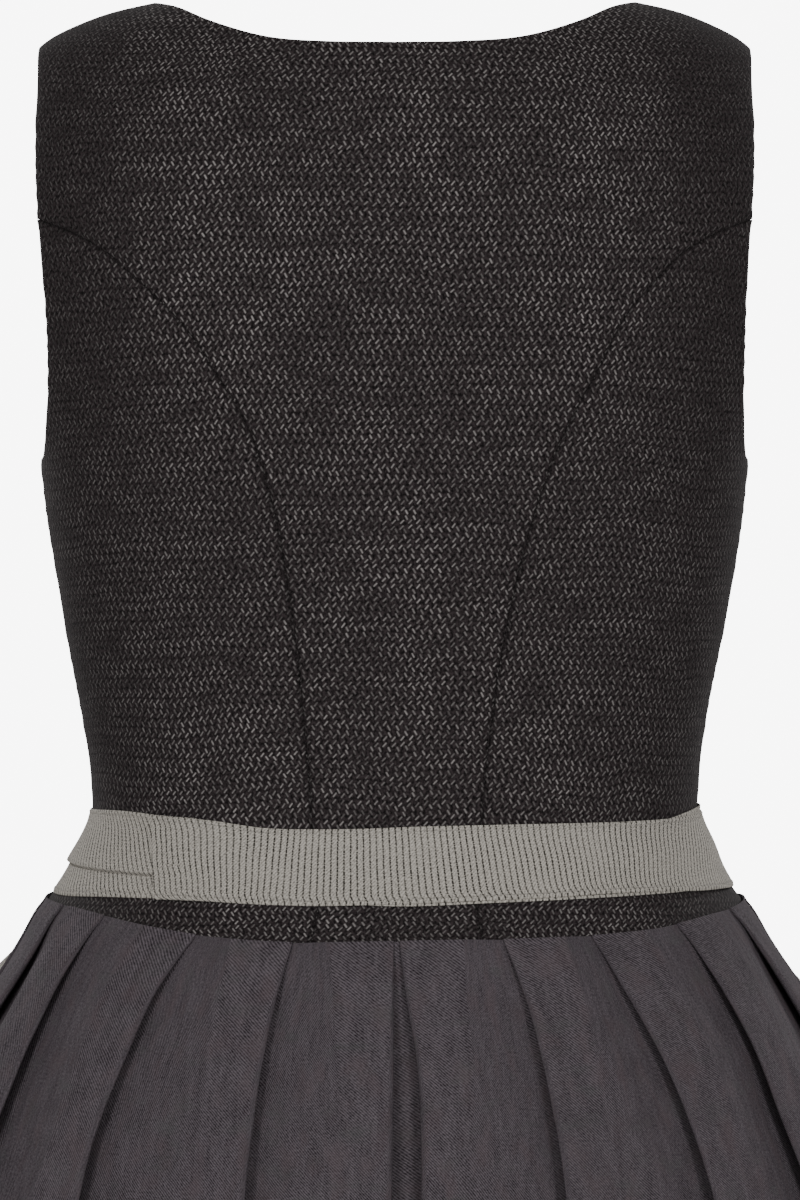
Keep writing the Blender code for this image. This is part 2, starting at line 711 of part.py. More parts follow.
def add_apron():
    """The apron: a panel gathered under the band at the front, lying over the pleats."""
    columns = APRON_GATHERS * COLUMNS_PER_GATHER + 1
    shares = np.linspace(APRON_STARTS, 2 - APRON_STARTS, columns)
    waves = (1 - np.cos(2 * np.pi * APRON_GATHERS * np.linspace(0, 1, columns))) / 2
    inner = []
    outer = []
    half_girth, way, angles = skirt_half_girth(0.0)
    top_angle = np.interp(shares * half_girth, way, angles)
    top_height = np.full(columns, BAND_BOTTOM - SEAM_GAP)
    points, outward = body_ring(top_angle, top_height)
    inner.append(points + outward * SEAM_GAP)
    outer.append(inner[-1] + outward * APRON_WALL)
    last_row = SKIRT_LENGTH * APRON_LENGTH_SHARE
    for down in [row for row in SKIRT_ROWS if row < last_row] + [last_row]:
        points, outward = apron_row(down, APRON_STARTS, 2 - APRON_STARTS, columns)
        gather = APRON_GATHER_DEPTH * smooth_step(down / APRON_GATHERS_FULL_AT)
        lift = APRON_CLEARANCE + gather * waves
        inner.append(points + outward * lift[:, None])
        outer.append(inner[-1] + outward * APRON_WALL)
    add_wall("apron", np.array(outer), np.array(inner), "stripe")


def clear_scene():
    """Remove what the scene held before."""
    for old in list(bpy.data.objects):
        bpy.data.objects.remove(old, do_unlink=True)


clear_scene()
add_back()
add_front()
add_skirt()
add_band()
add_apron()
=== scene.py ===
import bpy
import numpy as np
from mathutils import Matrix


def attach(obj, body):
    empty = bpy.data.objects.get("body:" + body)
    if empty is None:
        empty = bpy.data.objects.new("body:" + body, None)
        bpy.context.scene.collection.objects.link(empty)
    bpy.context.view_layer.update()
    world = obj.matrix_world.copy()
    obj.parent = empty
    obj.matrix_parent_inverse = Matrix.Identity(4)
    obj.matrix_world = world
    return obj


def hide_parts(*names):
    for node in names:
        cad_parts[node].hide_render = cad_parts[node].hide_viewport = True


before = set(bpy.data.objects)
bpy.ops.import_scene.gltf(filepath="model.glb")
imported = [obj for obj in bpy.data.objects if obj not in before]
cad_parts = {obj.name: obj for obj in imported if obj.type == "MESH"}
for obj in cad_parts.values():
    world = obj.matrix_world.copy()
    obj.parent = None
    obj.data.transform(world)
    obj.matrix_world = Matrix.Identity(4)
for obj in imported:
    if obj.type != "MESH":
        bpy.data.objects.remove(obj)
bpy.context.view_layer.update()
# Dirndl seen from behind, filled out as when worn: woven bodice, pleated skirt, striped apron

# ---- Camera -------------------------------------------------------------------------------------
# The garment is seen from behind through a long lens, from an assumed 3.2 m away. The lens is level
# with the shoulder blades and is turned down a little, so that the frame ends below the waist.
CAMERA_PLACE = (-0.0021, 3.2, -0.0938)
CAMERA_TURNED_DOWN = np.radians(2.7)
LENS_MM = 234.15

camera_lens = bpy.data.cameras.new("camera")
camera_lens.lens = LENS_MM
camera_lens.sensor_width = 36.0
camera = bpy.data.objects.new("camera", camera_lens)
camera.location = CAMERA_PLACE
camera.rotation_euler = (np.pi / 2 - CAMERA_TURNED_DOWN, 0.0, np.pi)
bpy.context.scene.collection.objects.link(camera)
bpy.context.scene.camera = camera


# ---- Bodice: the form it fits -------------------------------------------------------------------
# The bodice is cut from seven panels to lie close on the upper body. Its form is a stack of level
# ovals, closed over the shoulders, and the panel edges are lines drawn on that form.
UNDERARM = -0.187
BAND_TOP = -0.3312
BAND_BOTTOM = -0.3622
WAIST_SEAM = -0.3678
HEM = -0.985
NECK_HALF_WIDTH = 0.0982
SHOULDER_HALF_WIDTH = 0.1458
SHOULDER_DROP = 0.0184
SHOULDER_ROUNDING = 0.070
SEAM_GAP = 0.0003


def table(names, *rows):
    """A table of named columns; its first column is the one that it is read by."""
    return dict(zip(names.split(), np.array(rows, dtype=float).T))


TORSO = table(
    "height half_width back_depth front_depth bust_fullness",
    (-0.400, 0.1640, 0.1340, 0.1340, 0.00),
    (-0.376, 0.1500, 0.1180, 0.1180, 0.00),
    (-0.3655, 0.1408, 0.1105, 0.1105, 0.00),
    (-0.3554, 0.1342, 0.1035, 0.1055, 0.00),
    (-0.345, 0.1299, 0.0990, 0.1020, 0.00),
    (-0.333, 0.1247, 0.0955, 0.1000, 0.00),
    (-0.320, 0.1249, 0.0950, 0.1000, 0.01),
    (-0.295, 0.1280, 0.0960, 0.1060, 0.03),
    (-0.245, 0.1370, 0.0990, 0.1240, 0.08),
    (-0.210, 0.1430, 0.1015, 0.1320, 0.11),
    (UNDERARM, 0.1455, 0.1030, 0.1300, 0.11),
    (-0.145, 0.1535, 0.1045, 0.1200, 0.07),
    (-0.100, 0.1580, 0.1030, 0.1060, 0.03),
    (-0.060, 0.1585, 0.0985, 0.0940, 0.00),
    (-0.020, 0.1570, 0.0920, 0.0820, 0.00),
    (0.030, 0.1550, 0.0880, 0.0700, 0.00),
)
RIDGE = table(
    "sideways height",
    (0.000, 0.0208),
    (0.026, 0.0176),
    (0.054, 0.0102),
    (0.076, 0.0033),
    (NECK_HALF_WIDTH, 0.0000),
    (0.1197, -0.0052),
    (0.1296, -0.0092),
    (0.1400, -0.0145),
    (SHOULDER_HALF_WIDTH, -SHOULDER_DROP),
    (0.1700, -0.0350),
)
BACK_NECKLINE = table(
    "sideways height",
    (0.000, -0.0180),
    (0.026, -0.0173),
    (0.054, -0.0146),
    (0.076, -0.0079),
    (0.090, -0.0018),
    (NECK_HALF_WIDTH, 0.0000),
)
FRONT_NECKLINE = table(
    "sideways height",
    (0.000, -0.118),
    (0.030, -0.1165),
    (0.058, -0.107),
    (0.076, -0.085),
    (0.086, -0.055),
    (0.093, -0.025),
    (NECK_HALF_WIDTH, 0.0000),
)
SHOULDER = table(
    "sideways height",
    (NECK_HALF_WIDTH, 0.0000),
    (0.1197, -0.0052),
    (0.1296, -0.0092),
    (0.1400, -0.0145),
    (SHOULDER_HALF_WIDTH, -SHOULDER_DROP),
)
BACK_ARMHOLE = table(
    "sideways height",
    (SHOULDER_HALF_WIDTH, -SHOULDER_DROP),
    (0.1458, -0.032),
    (0.1462, -0.050),
    (0.1460, -0.070),
    (0.1450, -0.0885),
    (0.1433, -0.112),
    (0.1420, -0.135),
    (0.1416, -0.156),
    (0.1422, -0.1715),
    (0.1434, -0.1815),
    (0.1447, -0.1860),
    (0.1455, UNDERARM),
)
FRONT_ARMHOLE = table(
    "sideways height",
    (SHOULDER_HALF_WIDTH, -SHOULDER_DROP),
    (0.1400, -0.040),
    (0.1325, -0.070),
    (0.1285, -0.105),
    (0.1290, -0.130),
    (0.1335, -0.155),
    (0.1385, -0.1745),
    (0.1420, -0.1835),
    (0.1444, -0.1867),
    (0.1455, UNDERARM),
)
BACK_PRINCESS_SEAM = table(
    "sideways height",
    (0.0308, -0.3744),
    (0.0339, -0.3289),
    (0.0371, -0.2934),
    (0.0438, -0.2442),
    (0.0549, -0.1957),
    (0.0637, -0.1718),
    (0.0757, -0.1508),
    (0.0878, -0.1305),
    (0.1034, -0.1134),
    (0.1160, -0.1020),
    (0.1300, -0.0942),
    (0.1450, -0.0885),
)
BACK_SEAM_SHIFT = table(
    "height shift",
    (-0.380, -0.0010),
    (-0.330, -0.0010),
    (-0.280, -0.0016),
    (-0.230, -0.0036),
    (-0.190, -0.0060),
    (-0.165, -0.0072),
    (-0.145, -0.0066),
    (-0.120, -0.0030),
    (-0.095, 0.0000),
    (-0.085, 0.0000),
    (-0.070, 0.0000),
    (0.030, 0.0000),
)
FRONT_PRINCESS_SEAM = table(
    "sideways height",
    (0.0450, -0.3735),
    (0.0465, -0.3300),
    (0.0550, -0.2900),
    (0.0690, -0.2500),
    (0.0820, -0.2100),
    (0.0910, -0.1750),
    (0.1010, -0.1430),
    (0.1150, -0.1180),
    (0.1285, -0.1050),
)
WAIST = table(
    "turn height",
    (-90, WAIST_SEAM),
    (-80, -0.3687),
    (-70, -0.3697),
    (-60, -0.3709),
    (-51, -0.3726),
    (-45, -0.3739),
    (-38, -0.3747),
    (-24, -0.3754),
    (-8, -0.3755),
    (0, -0.3758),
    (8, -0.3763),
    (17, -0.3766),
    (24, -0.3761),
    (32, -0.3748),
    (42, -0.3727),
    (52, -0.3703),
    (63, -0.3686),
    (75, -0.3680),
    (90, WAIST_SEAM),
)


def read(source, name, at):
    """A column of a table at any places: cubic curves through its rows, with their mean slopes."""
    keys = list(source.values())[0]
    values = source[name]
    slopes = np.gradient(values, keys)
    at = np.clip(at, keys[0], keys[-1])
    row = np.clip(np.searchsorted(keys, at) - 1, 0, len(keys) - 2)
    step = keys[row + 1] - keys[row]
    u = (at - keys[row]) / step
    start = (1 + 2 * u) * (1 - u) ** 2 * values[row] + u * (1 - u) ** 2 * step * slopes[row]
    end = u * u * (3 - 2 * u) * values[row + 1] + u * u * (u - 1) * step * slopes[row + 1]
    return start + end


def smooth_step(u):
    """A rise from 0 to 1 that is level at both ends: 3 u squared less 2 u cubed."""
    u = np.clip(u, 0.0, 1.0)
    return u * u * (3 - 2 * u)


def unit(vectors):
    """Vectors divided by their lengths."""
    return vectors / np.maximum(np.linalg.norm(vectors, axis=-1, keepdims=True), 1e-12)


def body_level(x, y, z, facing):
    """y squared less the square of the oval's own depth there: zero on the form."""
    side = (x / read(TORSO, "half_width", z)) ** 2
    depth = read(TORSO, "back_depth" if facing > 0 else "front_depth", z)
    fullness = read(TORSO, "bust_fullness", z) if facing < 0 else 0.0
    bulge = 1 + 4 * fullness * side * (1 - side)
    rise = (z - read(RIDGE, "height", np.abs(x))) / SHOULDER_ROUNDING + 1
    closing = 1 - np.maximum(rise, 0.0) ** 2
    return y ** 2 - depth ** 2 * (1 - side) * bulge ** 2 * closing


def body_points(angle, z, facing):
    """Points on the form: sideways is half the width times sine, depth is where the level is 0."""
    angle, z = np.broadcast_arrays(angle, z)
    x = read(TORSO, "half_width", z) * np.sin(angle)
    y = facing * np.sqrt(np.maximum(-body_level(x, 0.0, z, facing), 0.0))
    return np.stack([x, y, z], axis=-1)


def body_outward(points, facing):
    """The slope of the form's level, by central differences, at unit length."""
    reach = 1e-5
    slopes = []
    for axis in range(3):
        step = np.zeros(3)
        step[axis] = reach
        ahead = body_level(*np.moveaxis(points + step, -1, 0), facing)
        behind = body_level(*np.moveaxis(points - step, -1, 0), facing)
        slopes.append(ahead - behind)
    return unit(np.stack(slopes, axis=-1))


def waist_seam(angle):
    """The seam's height by the angle from centre back, and alike from centre front."""
    return read(WAIST, "height", np.degrees(np.arcsin(np.clip(np.sin(angle), -1.0, 1.0))))


def edge(source, shares):
    """Points (sideways, height) at shares of the length of the smooth curve through a table."""
    corners = np.stack([source["sideways"], source["height"]], axis=1)
    chords = np.linalg.norm(np.diff(corners, axis=0), axis=1)
    way = {"way": np.append(0.0, np.cumsum(chords)), "x": corners[:, 0], "z": corners[:, 1]}
    fine_way = np.linspace(0.0, way["way"][-1], 400)
    fine = np.stack([read(way, "x", fine_way), read(way, "z", fine_way)], axis=1)
    lengths = np.append(0.0, np.cumsum(np.linalg.norm(np.diff(fine, axis=0), axis=1)))
    wanted = np.asarray(shares) * lengths[-1]
    return np.stack([np.interp(wanted, lengths, fine[:, axis]) for axis in (0, 1)], axis=1)


def as_angles(corners):
    """Edge points (sideways, height) as (angle, height): the angle whose sine is their share."""
    half_width = read(TORSO, "half_width", corners[:, 1])
    angles = np.arcsin(np.clip(corners[:, 0] / half_width, -1.0, 1.0))
    return np.stack([angles, corners[:, 1]], axis=1)


def shoulder_line(shares):
    """Points (angle, height) on the form's own ridge, at shares of the shoulder from the neck."""
    corners = edge(SHOULDER, shares)
    return as_angles(np.stack([corners[:, 0], read(RIDGE, "height", corners[:, 0])], axis=1))


def share_at_height(source, height):
    """How far along an edge each height is met."""
    shares = np.linspace(0, 1, 800)
    heights = edge(source, shares)[:, 1]
    order = np.argsort(heights)
    return np.interp(height, heights[order], shares[order])


def edge_between(source, start_height, end_height, count, facing, tip=1.0):
    """Edge points evenly spaced along the form between two heights, ending at a share tip."""
    ends = share_at_height(source, np.array([start_height, end_height]))
    fine = as_angles(edge(source, np.linspace(ends[0], ends[1], 400)))
    steps = np.linalg.norm(np.diff(body_points(fine[:, 0], fine[:, 1], facing), axis=0), axis=1)
    way = np.append(0.0, np.cumsum(steps))
    wanted = np.linspace(0.0, tip, count) * way[-1]
    return np.stack([np.interp(wanted, way, fine[:, axis]) for axis in (0, 1)], axis=1)


def join(*edges):
    """Edges one after another, where each begins at the end of the one before."""
    return np.concatenate([edges[0]] + [more[1:] for more in edges[1:]])


# Lengths along the form from the centre line, and up from the lowest row, at a lattice of places
LATTICE_ANGLES = np.linspace(0.0, np.pi / 2, 181)
LATTICE_HEIGHTS = np.linspace(-0.385, 0.004, 779)
LATTICE = {}
for side_of_body in (1, -1):
    lattice = body_points(LATTICE_ANGLES[None, :], LATTICE_HEIGHTS[:, None], side_of_body)
    along = np.linalg.norm(np.diff(lattice, axis=1), axis=2)
    rising = np.linalg.norm(np.diff(lattice, axis=0), axis=2)
    LATTICE[side_of_body] = (
        np.pad(np.cumsum(along, axis=1), ((0, 0), (1, 0))),
        np.pad(np.cumsum(rising, axis=0), ((1, 0), (0, 0))),
    )


def cloth_place(angle, z, facing):
    """Lengths along the form from the centre line and from the lowest row, read off the lattice."""
    column = np.abs(angle) / LATTICE_ANGLES[1]
    row = (z - LATTICE_HEIGHTS[0]) / (LATTICE_HEIGHTS[1] - LATTICE_HEIGHTS[0])
    left = np.clip(column.astype(int), 0, len(LATTICE_ANGLES) - 2)
    low = np.clip(row.astype(int), 0, len(LATTICE_HEIGHTS) - 2)
    s, t = np.clip(column - left, 0, 1), np.clip(row - low, 0, 1)
    place = []
    for lengths in LATTICE[facing]:
        below = lengths[low, left] * (1 - s) + lengths[low, left + 1] * s
        above = lengths[low + 1, left] * (1 - s) + lengths[low + 1, left + 1] * s
        place.append(below * (1 - t) + above * t)
    return np.stack([place[0] * np.sign(angle), place[1]], axis=-1)


# ---- Bodice: the panels -------------------------------------------------------------------------
# Each panel is one layer of stout woven cloth, turned in at its free edges and sewn to its
# neighbours, which leaves a fine sunk line. It is a closed shell with a half-round edge.
BODICE_WALL = 0.0015
SEAM_ROUND = 0.00030
SEAM_SINKS = 0.0005
SEAM_REACH = 0.0028
FREE_ROUND = 0.00075
# Sewn neighbours press this far into each other, so that no light passes between them
SEAM_PRESS = 0.00010
LOW_ROWS = 4
LEVEL_TOP = -0.215
LEVEL_HEIGHTS = np.linspace(BAND_BOTTOM, LEVEL_TOP, 66)
UPPER_SEAM_ROWS = 70
ARMHOLE_ROWS = 36
PUCKER_DEPTH = 0.00022
PUCKER_LENGTH = 0.011
PUCKER_REACH = 0.008
WAVE_DEPTH = 0.0006
WAVES_ACROSS = 70
WAVES_UP = 55


def put_in_scene(name, mesh):
    """An object for a mesh, smooth shaded, that rides the garment and has a slot."""
    mesh.shade_smooth()
    piece = bpy.data.objects.new(name, mesh)
    bpy.context.scene.collection.objects.link(piece)
    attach(piece, "root")
    return piece


def closed_wall(name, outer, outward, wall, uv, material, roundness):
    """A sheet's outer grid, rings round its edge, and its inner grid a wall's width in.

    The rings follow a quarter circle of the edge's roundness, the wall's middle, and a quarter
    circle again, moved out sideways from the grid's edge.
    """
    rows, columns = outer.shape[:2]
    roundness = np.broadcast_to(roundness, (rows, columns))
    across = np.gradient(outer, axis=1)
    up = np.gradient(outer, axis=0)
    if np.sum(np.cross(across, up) * outward) < 0:
        outer, outward, uv = outer[:, ::-1], outward[:, ::-1], uv[:, ::-1]
        roundness = roundness[:, ::-1]
        across, up = -across[:, ::-1], up[:, ::-1]
    sideways = np.zeros_like(outer)
    sideways[0] -= unit(up[0])
    sideways[-1] += unit(up[-1])
    sideways[:, 0] -= unit(across[:, 0])
    sideways[:, -1] += unit(across[:, -1])
    number = np.arange(rows * columns).reshape(rows, columns)
    rim = np.concatenate([number[0, :-1], number[:-1, -1], number[-1, :0:-1], number[:0:-1, 0]])
    flat_out = outward.reshape(-1, 3)[rim]
    flat_side = sideways.reshape(-1, 3)[rim]
    flat_side = unit(flat_side - flat_out * np.sum(flat_side * flat_out, axis=1, keepdims=True))
    radius = roundness.reshape(-1, 1)[rim]
    edge_points = outer.reshape(-1, 3)[rim]
    rings, ring_numbers = [], [rim]
    for reach, depth in (
        (0.5, 0.134 * radius),
        (0.866, 0.5 * radius),
        (1.0, wall / 2),
        (0.866, wall - 0.5 * radius),
        (0.5, wall - 0.134 * radius),
    ):
        ring_numbers.append(2 * number.size + len(rings) * len(rim) + np.arange(len(rim)))
        rings.append(edge_points - flat_out * depth + flat_side * radius * reach)
    ring_numbers.append(rim + number.size)
    front = np.stack([number[:-1, :-1], number[:-1, 1:], number[1:, 1:], number[1:, :-1]], axis=-1)
    faces = [front.reshape(-1, 4), front[..., ::-1].reshape(-1, 4) + number.size]
    for near, far in zip(ring_numbers, ring_numbers[1:]):
        faces.append(np.stack([np.roll(near, -1), near, far, np.roll(far, -1)], axis=-1))
    faces = np.concatenate(faces)
    flat = outer.reshape(-1, 3)
    points = np.concatenate([flat, flat - outward.reshape(-1, 3) * wall] + rings)
    flat_uv = uv.reshape(-1, 2)
    all_uv = np.concatenate([flat_uv, flat_uv] + [flat_uv[rim]] * len(rings))
    mesh = bpy.data.meshes.new(name)
    mesh.from_pydata(points.tolist(), [], faces.tolist())
    layer = mesh.uv_layers.new(name="cloth")
    layer.data.foreach_set("uv", all_uv[faces.ravel()].ravel())
    mesh.materials.append(material)
    return put_in_scene(name, mesh)


def math_node(tree, operation, *values):
    """A Math node; each value is a socket to link or a number to set."""
    node = tree.nodes.new("ShaderNodeMath")
    node.operation = operation
    for socket, value in zip(node.inputs, values):
        if isinstance(value, bpy.types.NodeSocket):
            tree.links.new(value, socket)
        else:
            socket.default_value = value
    return node.outputs[0]


def ramp(tree, value, low, high, out_low=0.0, out_high=1.0):
    """A smooth rise of a socket's value from out_low at low to out_high at high."""
    node = tree.nodes.new("ShaderNodeMapRange")
    node.interpolation_type = "SMOOTHSTEP"
    tree.links.new(value, node.inputs["Value"])
    node.inputs["From Min"].default_value = low
    node.inputs["From Max"].default_value = high
    node.inputs["To Min"].default_value = out_low
    node.inputs["To Max"].default_value = out_high
    return node.outputs[0]


def noise(tree, vector, per_metre, detail=2.0, roughness=0.5):
    """Noise on a vector socket, with its three scales in features a metre."""
    mapping = tree.nodes.new("ShaderNodeMapping")
    tree.links.new(vector, mapping.inputs["Vector"])
    mapping.inputs["Scale"].default_value = per_metre
    node = tree.nodes.new("ShaderNodeTexNoise")
    tree.links.new(mapping.outputs[0], node.inputs["Vector"])
    node.inputs["Scale"].default_value = 1.0
    node.inputs["Detail"].default_value = detail
    node.inputs["Roughness"].default_value = roughness
    return node.outputs["Fac"]


def mixed(tree, share, first, second):
    """Colour between two, by a share; each colour is a socket or an RGB value."""
    node = tree.nodes.new("ShaderNodeMix")
    node.data_type = "RGBA"
    tree.links.new(share, node.inputs["Factor"])
    for socket, value in ((node.inputs[6], first), (node.inputs[7], second)):
        if isinstance(value, bpy.types.NodeSocket):
            tree.links.new(value, socket)
        else:
            socket.default_value = (*value, 1.0)
    return node.outputs[2]


def cloth_material(name, rough, gloss):
    """A new Principled material: its tree, its shader, its UV sockets and their vector."""
    material = bpy.data.materials.new(name)
    material.use_nodes = True
    tree = material.node_tree
    shader = tree.nodes["Principled BSDF"]
    shader.inputs["Roughness"].default_value = rough
    shader.inputs["Specular IOR Level"].default_value = gloss
    places = tree.nodes.new("ShaderNodeUVMap")
    places.uv_map = "cloth"
    parts = tree.nodes.new("ShaderNodeSeparateXYZ")
    tree.links.new(places.outputs[0], parts.inputs[0])
    return material, tree, shader, parts.outputs[0], parts.outputs[1], places.outputs[0]


def raise_cloth(tree, shader, height, depth):
    """Feeds a height socket, in shares of a depth in metres, to the shader's normal."""
    bump = tree.nodes.new("ShaderNodeBump")
    bump.inputs["Strength"].default_value = 1.0
    bump.inputs["Distance"].default_value = depth
    tree.links.new(height, bump.inputs["Height"])
    tree.links.new(bump.outputs[0], shader.inputs["Normal"])


# The woven pattern: pairs of short slanting floats, leaning one way and then the other
FLOAT_PITCH = 0.0034
FLOAT_REPEAT = 0.0079
FLOATS = table(
    "family across up lean length radius",
    (0, 0.00, 0.00, -60.0, 0.00142, 0.00029),
    (1, 0.50, 0.50, 48.0, 0.00158, 0.00026),
)
FLOAT_CENTRE = (0.00190, 0.00152)
FLOAT_JITTER = 0.0004
PAIR_SHIFT = 0.0003
JACQUARD_GROUND = (0.0118, 0.0092, 0.0096)
JACQUARD_FLOAT = (0.172, 0.159, 0.154)

jacquard, tree, shader, u, v, uv_vector = cloth_material("jacquard_cloth", 0.85, 0.08)
drift = noise(tree, uv_vector, (22.0, 22.0, 0.0), detail=1.5)
u_drifted = math_node(tree, "MULTIPLY_ADD", drift, 0.005, u)
drift_up = noise(tree, uv_vector, (26.0, 20.0, 0.0), detail=1.5)
v_drifted = math_node(tree, "MULTIPLY_ADD", drift_up, 0.007, v)
float_blotches_and_painted_shade = ramp(tree, noise(tree, uv_vector, (60.0, 130.0, 0.0), detail=3.0), 0.28, 0.72, 0.55, 1.30)
clouds = ramp(tree, noise(tree, uv_vector, (16.0, 9.0, 0.0), detail=3.0), 0.30, 0.70, 0.78, 1.22)
float_blotches_and_painted_shade = math_node(tree, "MULTIPLY", float_blotches_and_painted_shade, clouds)
floats_height = None
for family in range(2):
    facts = {key: float(FLOATS[key][family]) for key in FLOATS}
    along = math_node(tree, "MULTIPLY_ADD", u_drifted, 1 / FLOAT_PITCH, 500.5 + facts["across"])
    rise = math_node(tree, "MULTIPLY_ADD", v_drifted, 3 / FLOAT_REPEAT, 900.5 + 3 * facts["up"])
    row = math_node(tree, "FLOOR", rise)
    shown = math_node(tree, "LESS_THAN", math_node(tree, "FLOORED_MODULO", row, 3.0), 1.5)
    cell = tree.nodes.new("ShaderNodeCombineXYZ")
    tree.links.new(math_node(tree, "FLOOR", along), cell.inputs[0])
    tree.links.new(row, cell.inputs[1])
    cell.inputs[2].default_value = float(family)
    chance = tree.nodes.new("ShaderNodeTexWhiteNoise")
    chance.noise_dimensions = "3D"
    tree.links.new(cell.outputs[0], chance.inputs["Vector"])
    chances = tree.nodes.new("ShaderNodeSeparateXYZ")
    tree.links.new(chance.outputs["Color"], chances.inputs[0])
    dx = math_node(tree, "MULTIPLY_ADD", math_node(tree, "FRACT", along), FLOAT_PITCH, -FLOAT_CENTRE[0])
    dx = math_node(tree, "MULTIPLY_ADD", chances.outputs[0], FLOAT_JITTER, dx)
    dy = math_node(tree, "FRACT", rise)
    dy = math_node(tree, "MULTIPLY_ADD", dy, FLOAT_REPEAT / 3, -FLOAT_CENTRE[1])
    dy = math_node(tree, "MULTIPLY_ADD", chances.outputs[1], FLOAT_JITTER, dy)
    pair = math_node(tree, "SUBTRACT", math_node(tree, "FLOORED_MODULO", row, 3.0), 0.5)
    dy = math_node(tree, "MULTIPLY_ADD", pair, PAIR_SHIFT, dy)
    lean = np.radians(facts["lean"])
    length_way = math_node(
        tree, "MULTIPLY_ADD", dy, np.sin(lean), math_node(tree, "MULTIPLY", dx, np.cos(lean))
    )
    width_way = math_node(
        tree, "MULTIPLY_ADD", dy, np.cos(lean), math_node(tree, "MULTIPLY", dx, -np.sin(lean))
    )
    beyond = math_node(tree, "SUBTRACT", math_node(tree, "ABSOLUTE", length_way), facts["length"] / 2)
    beyond = math_node(tree, "MAXIMUM", beyond, 0.0)
    squares = math_node(tree, "MULTIPLY", beyond, beyond)
    away = math_node(tree, "SQRT", math_node(tree, "MULTIPLY_ADD", width_way, width_way, squares))
    cover = ramp(tree, away, 0.0, facts["radius"] * 2.2, 1.0, 0.0)
    cover = math_node(tree, "MULTIPLY", cover, shown)
    cover = math_node(tree, "MULTIPLY", cover, ramp(tree, chances.outputs[2], 0.0, 1.0, 0.45, 1.0))
    floats_height = cover if floats_height is None else math_node(tree, "MAXIMUM", floats_height, cover)
thread_grain = noise(tree, uv_vector, (900.0, 700.0, 0.0), detail=2.0)
ground_grain_and_seam_shade = ramp(tree, thread_grain, 0.28, 0.72, 0.30, 2.5)
ground = tree.nodes.new("ShaderNodeVectorMath")
ground.operation = "SCALE"
ground.inputs[0].default_value = JACQUARD_GROUND
# Painted shade: the floats are dimmed towards the sides of the body, where the form turns away from the
# light
body_place = tree.nodes.new("ShaderNodeTexCoord")
body_axes = tree.nodes.new("ShaderNodeSeparateXYZ")
tree.links.new(body_place.outputs["Object"], body_axes.inputs[0])
sideways = math_node(tree, "ABSOLUTE", body_axes.outputs[0])
float_blotches_and_painted_shade = math_node(tree, "MULTIPLY", float_blotches_and_painted_shade, ramp(tree, sideways, 0.075, 0.135, 1.0, 0.40))
# Painted shade along the seams: the floats and the ground are darkened near each seam, where shade falls in
# the sunk line
seam_shade_attribute = tree.nodes.new("ShaderNodeAttribute")
seam_shade_attribute.attribute_name = "painted_seam_shade"
seam_shade_squared = math_node(tree, "MULTIPLY", seam_shade_attribute.outputs["Fac"], seam_shade_attribute.outputs["Fac"])
float_blotches_and_painted_shade = math_node(tree, "MULTIPLY", float_blotches_and_painted_shade, ramp(tree, seam_shade_squared, 0.0, 1.0, 1.0, 0.38))
ground_grain_and_seam_shade = math_node(tree, "MULTIPLY", ground_grain_and_seam_shade, ramp(tree, seam_shade_squared, 0.0, 1.0, 1.0, 0.60))
float_colour = tree.nodes.new("ShaderNodeVectorMath")
float_colour.operation = "SCALE"
float_colour.inputs[0].default_value = JACQUARD_FLOAT
tree.links.new(float_blotches_and_painted_shade, float_colour.inputs["Scale"])
tree.links.new(ground_grain_and_seam_shade, ground.inputs["Scale"])
tree.links.new(
    mixed(tree, floats_height, ground.outputs[0], float_colour.outputs[0]),
    shader.inputs["Base Color"],
)
relief = math_node(tree, "MULTIPLY_ADD", thread_grain, 0.35, floats_height)
raise_cloth(tree, shader, relief, 0.00020)


def seam_edge(princess, facing):
    """A princess seam's rows: straight down below the band, level above it, as (angle, height)."""
    level = as_angles(edge(princess, share_at_height(princess, LEVEL_HEIGHTS)))
    low = waist_seam(level[0, 0])
    below = np.linspace(low, LEVEL_HEIGHTS[0], LOW_ROWS, endpoint=False)
    below = np.stack([np.full(LOW_ROWS, level[0, 0]), below], axis=1)
    upper = edge_between(princess, LEVEL_TOP, princess["height"][-1], UPPER_SEAM_ROWS, facing)
    return np.concatenate([below, level]), upper


def fill_between(bottom, top, left, right):
    """Straight across between the side edges, plus what the bottom and top edges depart by.

    The bottom edge's shape fades out over the rows below the band; the top edge's fades in over
    the rows above the level ones.
    """
    u_share = np.linspace(0, 1, len(bottom))[None, :, None]
    row = np.arange(len(left))[:, None, None]
    level_rows = LOW_ROWS + len(LEVEL_HEIGHTS) - 1
    fade_low = np.clip(1 - row / LOW_ROWS, 0, 1)
    fade_high = smooth_step((row - level_rows) / (len(left) - 1 - level_rows))
    from_sides = (1 - u_share) * left[:, None] + u_share * right[:, None]
    lower = (1 - u_share) * bottom[0] + u_share * bottom[-1]
    upper = (1 - u_share) * top[0] + u_share * top[-1]
    return from_sides + fade_low * (bottom - lower) + fade_high * (top - upper)


def near_line(points, line, reach):
    """1 at a line of points, falling smoothly to 0 at a reach from it."""
    flat = points.reshape(-1, 3)
    nearest = np.full(len(flat), np.inf)
    for part in np.array_split(line, max(1, len(line) // 60)):
        gaps = np.linalg.norm(flat[:, None] - part[None], axis=2)
        nearest = np.minimum(nearest, gaps.min(axis=1))
    return 1 - smooth_step(nearest.reshape(points.shape[:2]) / reach)


def soft_waves(x, y, seed):
    """Four slow waves in different directions, with fixed phases drawn from a seed."""
    draw = np.random.default_rng(seed)
    total = np.zeros(np.broadcast(x, y).shape)
    for _ in range(4):
        turn = draw.uniform(0, np.pi)
        phase = draw.uniform(0, 2 * np.pi)
        stretch = draw.uniform(0.7, 1.5)
        total = total + np.sin((x * np.cos(turn) + y * np.sin(turn)) * stretch + phase) / 4
    return total


